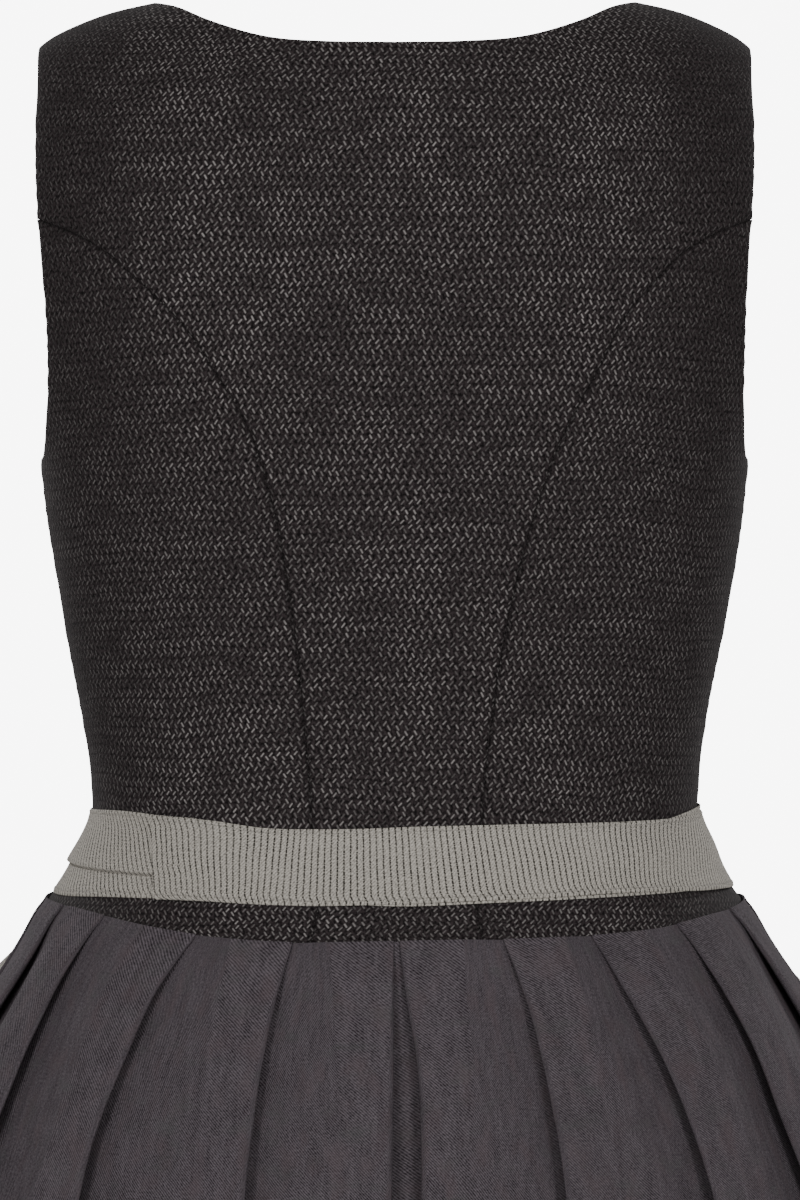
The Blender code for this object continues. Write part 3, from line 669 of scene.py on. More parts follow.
def add_panel(name, grid, facing, turned, roundness):
    """A panel from its (angle, height) grid, with soft waves and puckers by its seams.

    Its lowest rows are moved up or down so that they end at the waist seam. The back's seams are
    shifted to the right, by a length that depends on the height and fades out to the sides.
    """
    fade = np.clip(1 - np.arange(len(grid)) / LOW_ROWS, 0, 1)[:, None]
    heights = grid[..., 1] + fade * (waist_seam(grid[0, :, 0]) - grid[0, :, 1])
    shift = read(BACK_SEAM_SHIFT, "shift", heights) / read(TORSO, "half_width", heights)
    angles = grid[..., 0] + (shift * np.cos(grid[..., 0]) ** 2 if facing > 0 else 0.0)
    grid = np.stack([angles, heights], axis=-1)
    surface = body_points(grid[..., 0], grid[..., 1], facing)
    outward = body_outward(surface, facing)
    place = cloth_place(grid[..., 0], grid[..., 1], facing) * (-facing, 1)
    waves = soft_waves(surface[..., 0] * WAVES_ACROSS, surface[..., 2] * WAVES_UP, 3) * WAVE_DEPTH
    puckers = np.zeros(waves.shape)
    for line in (surface[LOW_ROWS:, 0], surface[LOW_ROWS:, -1]):
        ripple = np.sin(surface[..., 2] * 2 * np.pi / PUCKER_LENGTH + 5 * np.sin(surface[..., 2] * 90))
        puckers += PUCKER_DEPTH * ripple * near_line(surface, line, PUCKER_REACH)
        puckers -= SEAM_SINKS * near_line(surface, line, SEAM_REACH)
    above_band = smooth_step((surface[..., 2] - BAND_TOP) / 0.015)
    surface = surface + outward * ((waves + puckers) * above_band)[..., None]
    across = unit(np.gradient(surface, axis=1))
    up = unit(np.gradient(surface, axis=0))
    width = np.linalg.norm(surface[:, 0] - surface[:, -1], axis=1)
    sewn = roundness < FREE_ROUND
    roundness = np.minimum(roundness, 0.3 * width[:, None])
    draw_in = (roundness - SEAM_PRESS / 2)[..., None]
    trimmed = surface.copy()
    trimmed[:, 0] += across[:, 0] * draw_in[:, 0]
    trimmed[:, -1] -= across[:, -1] * draw_in[:, -1]
    trimmed[0] += up[0] * draw_in[0]
    trimmed[-1] -= up[-1] * draw_in[-1]
    seam_lines = [surface[sewn[:, 0], 0], surface[sewn[:, -1], -1]]
    if sewn[-1].any():
        seam_lines.append(surface[-1, sewn[-1]])
    centre = place[LOW_ROWS + 40, grid.shape[1] // 2]
    turn = np.array([[np.cos(turned), -np.sin(turned)], [np.sin(turned), np.cos(turned)]])
    uv = (place - centre) @ turn + centre
    piece = closed_wall(name, trimmed, outward, BODICE_WALL, uv, jacquard, roundness)
    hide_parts(name)
    # Nearness to the seams, kept on each point, for the painted seam shade in the cloth's material
    corners = np.empty(len(piece.data.vertices) * 3)
    piece.data.vertices.foreach_get("co", corners)
    painted_seam_shade = near_line(corners.reshape(1, -1, 3), np.concatenate(seam_lines), SEAM_REACH)
    piece.data.attributes.new("painted_seam_shade", "FLOAT", "POINT").data.foreach_set("value", painted_seam_shade.ravel())
    return piece


def waist_line(start, end, count):
    """Points along the waist seam between two angles."""
    angles = np.linspace(start, end, count)
    return np.stack([angles, waist_seam(angles)], axis=1)


mirror = np.array([-1.0, 1.0])
for facing, armhole, princess, name, turned in (
    (1, BACK_ARMHOLE, BACK_PRINCESS_SEAM, "bodice_back_side", 0.045),
    (-1, FRONT_ARMHOLE, FRONT_PRINCESS_SEAM, "bodice_front_side", 0.030),
):
    lower, upper = seam_edge(princess, facing)
    inner = join(lower, upper[:-1])
    corner = princess["height"][-1]
    below = np.linspace(WAIST_SEAM, BAND_BOTTOM, LOW_ROWS, endpoint=False)
    side_heights = np.concatenate([below, LEVEL_HEIGHTS, np.linspace(LEVEL_TOP, UNDERARM, 13)[1:]])
    side_seam = np.stack([np.full(len(side_heights), np.pi / 2), side_heights], axis=1)
    rest = len(inner) - len(side_seam) + 1
    outer = join(side_seam, edge_between(armhole, UNDERARM, corner, rest, facing, tip=0.997))
    bottom = waist_line(inner[0, 0], outer[0, 0], 46)
    top = np.linspace(inner[-1], outer[-1], 46)
    grid = fill_between(bottom, top, inner, outer)
    roundness = np.full(grid.shape[:2], SEAM_ROUND)
    roundness[len(side_seam):, -1] = FREE_ROUND
    add_panel(name + "_left", grid, facing, turned, roundness)
    add_panel(name + "_right", grid * mirror, facing, -turned, roundness)

lower, upper = seam_edge(BACK_PRINCESS_SEAM, 1)
corner = BACK_PRINCESS_SEAM["height"][-1]
left = join(lower, upper, edge_between(BACK_ARMHOLE, corner, -SHOULDER_DROP, ARMHOLE_ROWS, 1))
half_top = join(
    shoulder_line(np.linspace(1, 0, 24)),
    as_angles(edge(BACK_NECKLINE, np.linspace(1, 0, 44))),
)
top = join(half_top * mirror, half_top[::-1])
bottom = waist_line(-left[0, 0], left[0, 0], len(top))
grid = fill_between(bottom, top, left * mirror, left)
roundness = np.full(grid.shape[:2], SEAM_ROUND)
roundness[len(lower) + len(upper) :, (0, -1)] = FREE_ROUND
roundness[-1, 24:-24] = FREE_ROUND
add_panel("bodice_back_center", grid, 1, 0.0, roundness)

lower, upper = seam_edge(FRONT_PRINCESS_SEAM, -1)
corner = FRONT_PRINCESS_SEAM["height"][-1]
outer = join(lower, upper, edge_between(FRONT_ARMHOLE, corner, -SHOULDER_DROP, ARMHOLE_ROWS, -1))
neck_depth = FRONT_NECKLINE["height"][0]
bottom = waist_line(0.0, outer[0, 0], 46)
below = np.linspace(bottom[0, 1], BAND_BOTTOM, LOW_ROWS, endpoint=False)
heights = np.concatenate([below, LEVEL_HEIGHTS, np.linspace(LEVEL_TOP, neck_depth, 40)[1:]])
opening = np.stack([np.zeros(len(heights)), heights], axis=1)
rest = len(outer) - len(opening) + 1
inner = join(opening, edge_between(FRONT_NECKLINE, neck_depth, 0.0, rest, -1))
top = shoulder_line(np.linspace(0, 1, 46))
grid = fill_between(bottom, top, inner, outer)
roundness = np.full(grid.shape[:2], SEAM_ROUND)
roundness[len(lower) + len(upper) :, -1] = FREE_ROUND
roundness[:, 0] = FREE_ROUND
add_panel("bodice_front_center_left", grid, -1, 0.0, roundness)
add_panel("bodice_front_center_right", grid * mirror, -1, 0.0, roundness)


# ---- Skirt --------------------------------------------------------------------------------------
# Two widths of fine melange twill, laid in ten knife pleats each side that face centre back and
# meet there. The folds are sharp at the waist seam, and open into soft waves towards the hem.
SKIRT_WALL = 0.0008
TOP_OVERLAP = 0.0007
TOP_STANDS_OUT = 0.0012
SKIRT_LENGTH = WAIST_SEAM - HEM
SKIRT_FLARE = table(
    "down side back front",
    (0.000, 0.0000, 0.0000, 0.0000),
    (0.003, 0.0028, 0.0024, 0.0024),
    (0.013, 0.0098, 0.0086, 0.0086),
    (0.020, 0.0142, 0.0122, 0.0120),
    (0.050, 0.0340, 0.0295, 0.0275),
    (0.100, 0.0630, 0.0555, 0.0535),
    (0.150, 0.0835, 0.0745, 0.0715),
    (0.250, 0.1145, 0.1055, 0.1015),
    (0.350, 0.1415, 0.1315, 0.1275),
    (0.450, 0.1655, 0.1555, 0.1505),
    (0.550, 0.1865, 0.1765, 0.1715),
    (0.620, 0.1990, 0.1890, 0.1840),
)
# Fold edges as shares of the way from centre back to centre front, at distances down. Those of
# the back width differ from side to side, and those of the front width are alike on both.
FOLD_EDGES = {
    "left": table(
        "down e0 e1 e2 e3 e4",
        (0.000, 0.0010, 0.0990, 0.2000, 0.3220, 0.4045),
        (0.020, 0.0012, 0.1050, 0.2200, 0.3370, 0.4120),
        (0.045, 0.0012, 0.1062, 0.2250, 0.3330, 0.4165),
        (0.075, 0.0016, 0.1040, 0.2270, 0.3240, 0.4150),
        (0.105, 0.0022, 0.1010, 0.2220, 0.3200, 0.4130),
        (0.200, 0.0070, 0.1060, 0.2220, 0.3220, 0.4160),
        (0.618, 0.0350, 0.1370, 0.2400, 0.3400, 0.4370),
    ),
    "right": table(
        "down e0 e1 e2 e3 e4",
        (0.000, 0.0048, 0.1050, 0.1960, 0.3020, 0.4050),
        (0.020, 0.0105, 0.1150, 0.2110, 0.3190, 0.4280),
        (0.045, 0.0180, 0.1180, 0.2215, 0.3220, 0.4290),
        (0.075, 0.0190, 0.1178, 0.2243, 0.3110, 0.4210),
        (0.105, 0.0172, 0.1150, 0.2230, 0.3070, 0.4150),
        (0.200, 0.0190, 0.1170, 0.2240, 0.3120, 0.4180),
        (0.618, 0.0350, 0.1400, 0.2400, 0.3370, 0.4370),
    ),
    "both": table(
        "down e5 e6 e7 e8 e9",
        (0.000, 0.505, 0.605, 0.705, 0.805, 0.900),
        (0.020, 0.507, 0.607, 0.707, 0.807, 0.903),
        (0.045, 0.509, 0.609, 0.709, 0.810, 0.906),
        (0.075, 0.511, 0.611, 0.711, 0.813, 0.909),
        (0.105, 0.512, 0.612, 0.713, 0.815, 0.912),
        (0.200, 0.518, 0.618, 0.719, 0.821, 0.919),
        (0.618, 0.538, 0.640, 0.743, 0.846, 0.950),
    ),
}
PLEAT_COUNT = 10
BACK_PLEATS = 5
CLOTH_PER_PLEAT_AT_WAIST = 0.092
CLOTH_PER_PLEAT_AT_HEM = 0.115
LAYER_PITCH = table(
    "down pitch",
    (0.00, 0.0004),
    (0.01, 0.0011),
    (0.02, 0.0020),
    (0.05, 0.0032),
    (0.10, 0.0042),
    (0.24, 0.0061),
    (0.35, 0.0082),
    (SKIRT_LENGTH, 0.0082),
)
FOLD = table(
    "point depths turns layers wave",
    (0, 0, -1, 0.0, -0.45),
    (1, 1, -1, 0.0, -0.32),
    (2, 1, 0, 0.4, -0.20),
    (3, 1, -1, 0.8, -0.10),
    (4, 0, 1, 1.2, -0.02),
    (5, 0, 0, 1.6, 0.05),
    (6, 0, 1, 2.0, 0.15),
    (7, 1, 0, 2.0, 0.35),
)
FOLD_STEPS = (6, 2, 2, 5, 3, 3, 8, 6)
FOLDS_OPEN_FROM = 0.13
HEM_WAVE = 0.012
WAVE_CREST = 0.03
SKIRT_ROW_COUNT = 90
ROWS_CROWD_UP = 1.35
SHARP_FOLD_WIDTH = 0.0012
OPENED_FOLD_WIDTH = 0.010
SKIRT_WAVE_DEPTH = 0.0018


def skirt_points(angle, down):
    """The seam's oval widened by the flare, lowered in proportion to the distance down."""
    seam = waist_seam(angle)
    is_back = np.cos(angle) > 0
    depth = np.where(is_back, read(TORSO, "back_depth", seam), read(TORSO, "front_depth", seam))
    flare = np.where(is_back, read(SKIRT_FLARE, "back", down), read(SKIRT_FLARE, "front", down))
    half_width = read(TORSO, "half_width", seam) + read(SKIRT_FLARE, "side", down)
    x = half_width * np.sin(angle)
    y = (depth + flare) * np.cos(angle)
    z = seam + (HEM - seam) * down / SKIRT_LENGTH
    return np.stack([x, y, z], axis=-1)


def skirt_outward(angle, down):
    """The cross product of the outline's steps round and down, at unit length."""
    reach = 1e-4
    across = skirt_points(angle + reach, down) - skirt_points(angle - reach, down)
    low = np.maximum(down - reach, 0.0)
    fall = skirt_points(angle, low + 2 * reach) - skirt_points(angle, low)
    return unit(np.cross(across, fall))


def way_round(down):
    """Distances round the outline from centre back, for angles, and half the way round.

    The right half is stretched a little to the left half's length, so that the widths' ends meet.
    """
    angles = np.linspace(-np.pi, 2 * np.pi, 1201)
    ring = skirt_points(angles, np.full(angles.shape, down))
    way = np.append(0.0, np.cumsum(np.linalg.norm(np.diff(ring, axis=0), axis=1)))
    way -= np.interp(0.0, angles, way)
    centres = np.interp(np.array([-1, 0, 1, 2]) * np.pi, angles, way)
    half_girth = centres[2]
    return half_girth, np.interp(way, centres, np.array([-1, 0, 1, 2]) * half_girth), angles


def fold_path(side, down, half_girth):
    """The cloth's corners from centre back to centre front: (distance round, distance out)."""
    pitch = half_girth / PLEAT_COUNT
    share_down = down / SKIRT_LENGTH
    cloth = CLOTH_PER_PLEAT_AT_WAIST + (CLOTH_PER_PLEAT_AT_HEM - CLOTH_PER_PLEAT_AT_WAIST) * share_down
    depth = (cloth - pitch) / 2
    opened = smooth_step((down - FOLDS_OPEN_FROM) / (SKIRT_LENGTH - FOLDS_OPEN_FROM))
    layer = read(LAYER_PITCH, "pitch", down)
    sources = [side] * BACK_PLEATS + ["both"] * (PLEAT_COUNT - BACK_PLEATS)
    edges = [read(FOLD_EDGES[source], f"e{n}", down) for n, source in enumerate(sources)]
    edges = np.array(edges) * half_girth
    under = FOLD["depths"] * depth + FOLD["turns"] * layer / 2
    lift = (FOLD["layers"] - FOLD["layers"][-1]) * layer
    wave_lift = HEM_WAVE * np.cos(2 * np.pi * (FOLD["wave"] - WAVE_CREST)) - HEM_WAVE
    way = edges[:, None] + (1 - opened) * under + opened * FOLD["wave"] * pitch
    out = np.broadcast_to((1 - opened) * lift + opened * wave_lift, way.shape) - SKIRT_WALL / 2
    front_out = (1 - opened) * lift[-1] - opened * 2 * HEM_WAVE - SKIRT_WALL / 2
    return way, out, front_out


def piece_path(part, down, half_girth):
    """The corners of a whole width, back or front, and the number of steps on to each next."""
    sides = {}
    for side in ("left", "right"):
        way, out, front_out = fold_path(side, down, half_girth)
        last = BACK_PLEATS - 1
        seam = (way[last, -1] + way[last + 1, 0]) / 2
        seam_out = (out[last, -1] + out[last + 1, 0]) / 2
        steps = np.tile(FOLD_STEPS, BACK_PLEATS)
        if part == "back":
            way = np.concatenate([[0.0], way[:BACK_PLEATS].ravel()[1:], [seam - SEAM_GAP / 2]])
            out = np.concatenate([[out[0, 0]], out[:BACK_PLEATS].ravel()[1:], [seam_out]])
        else:
            way = np.concatenate([[seam + SEAM_GAP / 2], way[BACK_PLEATS:].ravel(), [half_girth]])
            out = np.concatenate([[seam_out], out[BACK_PLEATS:].ravel(), [front_out]])
            steps = np.append(FOLD_STEPS[-1], steps)
        sides[side] = (way, out, steps)
    way_l, out_l, steps_l = sides["left"]
    way_r, out_r, steps_r = sides["right"]
    if part == "back":
        way = np.concatenate([-way_r[:0:-1], way_l])
        return way, np.concatenate([out_r[:0:-1], out_l]), np.concatenate([steps_r[::-1], steps_l])
    way = np.concatenate([way_l, 2 * half_girth - way_r[-2::-1]])
    return way, np.concatenate([out_l, out_r[-2::-1]]), np.concatenate([steps_l, steps_r[::-1]])


def rounded(way, out, steps, width):
    """The path's running mean over a width, which rounds its corners, at steps along each chord.

    The mean is the difference of the path's integral half a width ahead and behind, over the
    width. The steps crowd towards the corners with a cosine.
    """
    path = np.stack([way, out], axis=1)
    chords = np.linalg.norm(np.diff(path, axis=0), axis=1)
    lengths = np.append(0.0, np.cumsum(chords))
    fine = np.linspace(-width, lengths[-1] + width, 6001)
    first, final = unit(path[1] - path[0]), unit(path[-1] - path[-2])
    columns = []
    for axis in (0, 1):
        value = np.interp(fine, lengths, path[:, axis])
        value += np.minimum(fine, 0.0) * first[axis]
        value += np.maximum(fine - lengths[-1], 0.0) * final[axis]
        columns.append(np.append(0.0, np.cumsum((value[1:] + value[:-1]) / 2 * np.diff(fine))))
    places = []
    for start, length, count in zip(lengths, chords, steps):
        crowd = (1 - np.cos(np.pi * np.arange(count) / count)) / 2
        places.append(start + length * crowd)
    places = np.append(np.concatenate(places), lengths[-1])
    ahead = [np.interp(places + width / 2, fine, column) for column in columns]
    behind = [np.interp(places - width / 2, fine, column) for column in columns]
    return np.stack([(a - b) / width for a, b in zip(ahead, behind)], axis=1), places


# Soft ridges and troughs that cross the folds' flat faces: share of the way round from centre
# back, positive to the left, at the top and at the bottom of each, and its width as a share
CREASES = table(
    "number top_at low_at width from to height",
    (0, 0.245, 0.262, 0.010, 0.02, 0.16, 0.0016),
    (1, -0.175, -0.190, 0.012, 0.00, 0.22, 0.0022),
    (2, -0.150, -0.160, 0.014, 0.02, 0.20, -0.0012),
    (3, -0.125, -0.123, 0.008, 0.01, 0.06, 0.0010),
    (4, 0.060, 0.055, 0.022, 0.03, 0.30, 0.0012),
    (5, 0.150, 0.160, 0.018, 0.05, 0.30, -0.0014),
    (6, -0.065, -0.070, 0.024, 0.02, 0.30, 0.0012),
    (7, -0.270, -0.275, 0.014, 0.02, 0.25, 0.0016),
    (8, 0.290, 0.285, 0.014, 0.04, 0.28, -0.0014),
    (9, 0.365, 0.375, 0.016, 0.02, 0.22, 0.0015),
    (10, -0.365, -0.360, 0.014, 0.03, 0.24, 0.0015),
    (11, 0.460, 0.470, 0.018, 0.02, 0.35, 0.0016),
    (12, -0.470, -0.480, 0.020, 0.03, 0.33, 0.0018),
    (13, 0.570, 0.560, 0.016, 0.03, 0.30, 0.0014),
    (14, -0.560, -0.575, 0.018, 0.03, 0.28, -0.0014),
    (15, 0.660, 0.670, 0.018, 0.04, 0.34, 0.0016),
    (16, -0.660, -0.650, 0.016, 0.02, 0.30, 0.0015),
    (17, 0.770, 0.760, 0.018, 0.03, 0.28, 0.0014),
    (18, -0.770, -0.780, 0.018, 0.04, 0.30, 0.0016),
    (19, 0.870, 0.880, 0.016, 0.03, 0.30, -0.0012),
    (20, -0.870, -0.860, 0.018, 0.02, 0.32, 0.0014),
)


def crease_lift(share, down):
    """The sum of the creases: a bell across each, faded in and out along it."""
    total = np.zeros(share.shape)
    wrapped = (share + 1) % 2 - 1
    for n in range(len(CREASES["number"])):
        crease = {key: CREASES[key][n] for key in CREASES}
        along = (down - crease["from"]) / (crease["to"] - crease["from"])
        at = crease["top_at"] + (crease["low_at"] - crease["top_at"]) * along
        fade = smooth_step(along * 3) * smooth_step((1 - along) * 2.5)
        total += crease["height"] * np.exp(-(((wrapped - at) / crease["width"]) ** 2)) * fade
    return total


TWILL_LOW = (0.0050, 0.0030, 0.0045)
TWILL_HIGH = (0.1180, 0.1015, 0.1125)
TWILL_WARM = (0.0760, 0.0560, 0.0600)
TWILL_COOL = (0.0560, 0.0580, 0.0560)
TWILL_PITCH = 0.00088

twill, tree, shader, u, v, uv_vector = cloth_material("twill_cloth", 0.88, 0.08)
slant = math_node(tree, "MULTIPLY_ADD", u, 1.15, v)
wander = noise(tree, uv_vector, (160.0, 160.0, 0.0), detail=2.0)
slant = math_node(tree, "MULTIPLY_ADD", wander, 0.0012, slant)
line = math_node(tree, "SINE", math_node(tree, "MULTIPLY", slant, 2 * np.pi / TWILL_PITCH / 1.52))
line = ramp(tree, line, -0.9, 0.9)
specks = noise(tree, uv_vector, (1000.0, 1000.0, 0.0), detail=2.0, roughness=0.65)
streaks = noise(tree, uv_vector, (260.0, 60.0, 0.0), detail=4.0, roughness=0.65)
light = math_node(tree, "MULTIPLY_ADD", ramp(tree, streaks, 0.25, 0.75), 0.22, -0.03)
light = math_node(tree, "MULTIPLY_ADD", ramp(tree, specks, 0.30, 0.70), 0.38, light)
light = math_node(tree, "MULTIPLY_ADD", line, 0.46, light)
tone = mixed(tree, light, TWILL_LOW, TWILL_HIGH)
warm = ramp(tree, noise(tree, uv_vector, (120.0, 60.0, 0.0), detail=2.0), 0.45, 0.75, 0.0, 0.40)
cool = ramp(tree, noise(tree, uv_vector, (60.0, 120.0, 0.0), detail=2.0), 0.50, 0.80, 0.0, 0.35)
tone = mixed(tree, cool, mixed(tree, warm, tone, TWILL_WARM), TWILL_COOL)
tree.links.new(tone, shader.inputs["Base Color"])
raise_cloth(tree, shader, math_node(tree, "MULTIPLY_ADD", specks, 0.6, line), 0.00008)


def add_skirt(name, part):
    """A pleated width: a rounded path at each row, with half the wall's thickness on each side."""
    row_shares = np.linspace(0, 1, SKIRT_ROW_COUNT) ** ROWS_CROWD_UP
    downs = row_shares * SKIRT_LENGTH
    outer, outward, cloth_way = [], [], []
    for down in downs:
        half_girth, way, angles = way_round(down)
        corners, lifts, steps = piece_path(part, down, half_girth)
        opened = smooth_step((down - 0.05) / 0.35)
        path, places = rounded(corners, lifts, steps, SHARP_FOLD_WIDTH + OPENED_FOLD_WIDTH * opened)
        share = path[:, 0] / half_girth
        path[:, 1] += crease_lift(share, down)
        ring_x, ring_y = np.sin(np.pi * share) * 9, np.cos(np.pi * share) * 9
        waves = soft_waves(ring_x, ring_y + down * 22, 8) * SKIRT_WAVE_DEPTH
        path[:, 1] += waves * smooth_step(down / 0.08)
        tangent = unit(np.gradient(path, axis=0))
        normal = np.stack([-tangent[:, 1], tangent[:, 0]], axis=1)
        moved = path + normal * SKIRT_WALL / 2
        drop = np.full(len(moved), down if down > 0 else -TOP_OVERLAP)
        path_out = TOP_STANDS_OUT * (1 - smooth_step(down / 0.018))
        angle = np.interp(moved[:, 0], way, angles)
        point = skirt_points(angle, drop) + skirt_outward(angle, drop) * (moved[:, 1:] + path_out)
        ahead = np.interp(moved[:, 0] - normal[:, 0] * 0.0005, way, angles)
        behind = skirt_points(ahead, drop) + skirt_outward(ahead, drop) * (
            moved[:, 1:] + path_out - normal[:, 1:] * 0.0005
        )
        outer.append(point)
        outward.append(unit(point - behind))
        cloth_way.append(places)
    outer, outward, cloth_way = np.array(outer), np.array(outward), np.array(cloth_way)
    fall = np.append(0.0, np.cumsum(np.linalg.norm(np.diff(skirt_points(0.0, downs), axis=0), axis=1)))
    uv = np.stack(np.broadcast_arrays(-cloth_way.mean(axis=0), -fall[:, None]), axis=-1)
    piece = closed_wall(name, outer, outward, SKIRT_WALL, uv, twill, SKIRT_WALL / 2)
    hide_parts(name)
    return piece


add_skirt("skirt_back", "back")
add_skirt("skirt_front", "front")


# ---- Apron band ---------------------------------------------------------------------------------
# One strip of striped cloth, doubled and stitched along both edges, that is wound round the waist.
# Its ends overlap at the left back, where the long stretch lies over the short one. At the right a
# second turn lies under it, and shows as a narrow line below and a small corner above.
BAND_WALL = 0.0008
BAND_GAP = 0.00015
BAND_COLUMNS = 520
BAND_ROWS = 62
BAND_STARTS = 48.0
BAND_ENDS = -320.0
END_SLOPE = 3.8
END_CORNER = 0.0022
RAMP_TURN = 14.0
FOLD_HEIGHT = -0.3525
FOLD_ROW = 0.30
UNDER_WALL = 0.0006
UNDER_ENDS = (8.0, -150.0)
STITCH_FROM_EDGE = 0.0015
STITCH_PITCH = 0.0027
STITCH_LENGTH = 0.0021
THREAD_RADIUS = 0.00011
STRIPE_PITCH = 0.0027
BEAD_PITCH = 0.00125
STRIPE_GROUND = (0.420, 0.392, 0.350)
STRIPE_SHADE = (0.130, 0.120, 0.106)
STRIPE_DARK = (0.022, 0.020, 0.016)
BAND_EDGES = table(
    "turn top low",
    (-330.0, -0.3295, -0.3606),
    (-314.0, -0.3292, -0.3608),
    (-300.0, -0.3285, -0.3621),
    (-279.0, -0.3300, -0.3641),
    (-268.0, -0.3308, -0.3641),
    (-240.0, -0.3312, -0.3628),
    (-180.0, -0.3312, -0.3622),
    (-120.0, -0.3312, -0.3622),
    (-83.0, -0.3316, -0.3618),
    (-62.0, -0.3318, -0.3603),
    (-50.0, -0.3315, -0.3591),
    (-16.0, -0.3308, -0.3598),
    (-3.0, -0.3312, -0.3607),
    (6.0, -0.3320, -0.3614),
    (14.0, -0.33235, -0.3614),
    (25.0, -0.3322, -0.3614),
    (34.0, -0.3300, -0.3614),
    (44.0, -0.3293, -0.3616),
    (60.0, -0.3286, -0.3620),
)
UNDER_EDGES = table(
    "turn top low",
    (-150.0, -0.3330, -0.3600),
    (-120.0, -0.3300, -0.3603),
    (-95.0, -0.3290, -0.3606),
    (-81.0, -0.3289, -0.3606),
    (-70.0, -0.3303, -0.3602),
    (-60.0, -0.3322, -0.3600),
    (-55.0, -0.3328, -0.3600),
    (-49.0, -0.3330, -0.35995),
    (-16.0, -0.3330, -0.3607),
    (0.0, -0.3335, -0.3616),
    (8.0, -0.3340, -0.3610),
)

stripe, tree, shader, u, v, uv_vector = cloth_material("stripe_cloth", 0.85, 0.10)
wobble = noise(tree, uv_vector, (90.0, 110.0, 0.0), detail=1.0)
stripe_way = math_node(tree, "MULTIPLY_ADD", wobble, 0.00035, u)
stripe_phase = math_node(
    tree, "FRACT", math_node(tree, "MULTIPLY_ADD", stripe_way, 1 / STRIPE_PITCH, 500.5)
)
from_stripe = math_node(tree, "ABSOLUTE", math_node(tree, "SUBTRACT", stripe_phase, 0.5))
stripe_number = math_node(
    tree, "FLOOR", math_node(tree, "MULTIPLY_ADD", stripe_way, 1 / STRIPE_PITCH, 500.5)
)
offset = math_node(tree, "FRACT", math_node(tree, "MULTIPLY", stripe_number, 0.618))
unevenness = noise(tree, uv_vector, (370.0, 420.0, 0.0), detail=2.0)
beads = math_node(tree, "MULTIPLY_ADD", unevenness, 3.0, math_node(tree, "MULTIPLY", v, 1 / BEAD_PITCH))
beads = math_node(tree, "MULTIPLY", math_node(tree, "ADD", beads, offset), 2 * np.pi)
beads = ramp(tree, math_node(tree, "SINE", beads), -1.0, 0.4)
half_width = math_node(tree, "MULTIPLY_ADD", beads, 0.060, 0.075)
dark = ramp(tree, math_node(tree, "SUBTRACT", half_width, from_stripe), -0.075, 0.060)
gaps = math_node(tree, "MULTIPLY_ADD", beads, 0.40, 0.60)
patches = ramp(tree, noise(tree, uv_vector, (40.0, 60.0, 0.0), detail=2.0), 0.30, 0.60, 0.78, 1.0)
dark = math_node(tree, "MULTIPLY", math_node(tree, "MULTIPLY", dark, gaps), patches)
slant = math_node(tree, "SUBTRACT", v, u)
slant = math_node(tree, "SINE", math_node(tree, "MULTIPLY", slant, 2 * np.pi / 0.0014))
grain = noise(tree, uv_vector, (1100.0, 1400.0, 0.0), detail=2.0, roughness=0.6)
shade = math_node(tree, "MULTIPLY_ADD", slant, 0.20, ramp(tree, grain, 0.10, 0.80))
ground_tone = mixed(tree, shade, STRIPE_SHADE, STRIPE_GROUND)
tree.links.new(mixed(tree, dark, ground_tone, STRIPE_DARK), shader.inputs["Base Color"])
raise_cloth(tree, shader, math_node(tree, "MULTIPLY_ADD", dark, -0.5, grain), 0.00012)


def body_ring(angle, z):
    """Points and outward directions all round the form, by angle from centre back."""
    side_angle = np.arcsin(np.clip(np.sin(angle), -1.0, 1.0))
    back = body_points(side_angle, z, 1)
    front = body_points(side_angle, z, -1)
    is_back = (np.cos(angle) >= 0)[..., None]
    outward = np.where(is_back, body_outward(back, 1), body_outward(front, -1))
    return np.where(is_back, back, front), outward


def bell(value, middle, width):
    """e to the power of less the square of the distance from the middle, in shares of the width."""
    return np.exp(-(((value - middle) / width) ** 2))


def edge_roll(from_edge):
    """A low swell at a doubled edge and a dip where it is stitched through."""
    pressed_in = 0.00030 * bell(from_edge, 0.0, 0.0005)
    return 0.00012 * bell(from_edge, 0.0007, 0.0004) - 0.00026 * bell(
        from_edge, STITCH_FROM_EDGE, 0.00040
    ) - pressed_in


def left_fold(turn, z):
    """The short stretch's fold: a roll with a quarter-round lower side that dies away above."""
    across = smooth_step((turn + 325) / 8) * (1 - smooth_step((turn + 262) / 16))
    near_side = bell(turn, -272.0, 15.0)
    above = z - FOLD_HEIGHT
    under_side = np.sqrt(1 - (1 - np.clip(above / 0.0006, 0.0, 1.0)) ** 2)
    roll = under_side * np.exp(-((np.maximum(above, 0.0) / 0.0065) ** 2))
    swell = roll * (0.0010 + 0.0006 * near_side) - 0.0006 * bell(above, -0.0001, 0.00025)
    line = (z + 0.3602) - (turn + 301) * -0.00075
    slanted = -0.0007 * bell(line, 0.0, 0.0004) * bell(turn, -300.5, 2.2)
    return across * swell + slanted


DENTS = table(
    "turn turn_width height height_width depth",
    (45.5, 3.0, -0.3330, 0.0022, 0.0007),
    (46.5, 1.8, -0.3425, 0.0030, 0.0006),
    (38.0, 3.5, -0.3345, 0.0030, 0.0004),
)


def end_puckers(turn, z):
    """Soft dents beside the lapped end and slow waves along the strip."""
    dents = 0.0
    for at, wide, height, tall, depth in zip(*DENTS.values()):
        dents = dents - bell(turn, at, wide) * bell(z, height, tall) * depth
    slow = soft_waves(turn * 0.30, z * 160, 12) * 0.00035
    return dents + slow


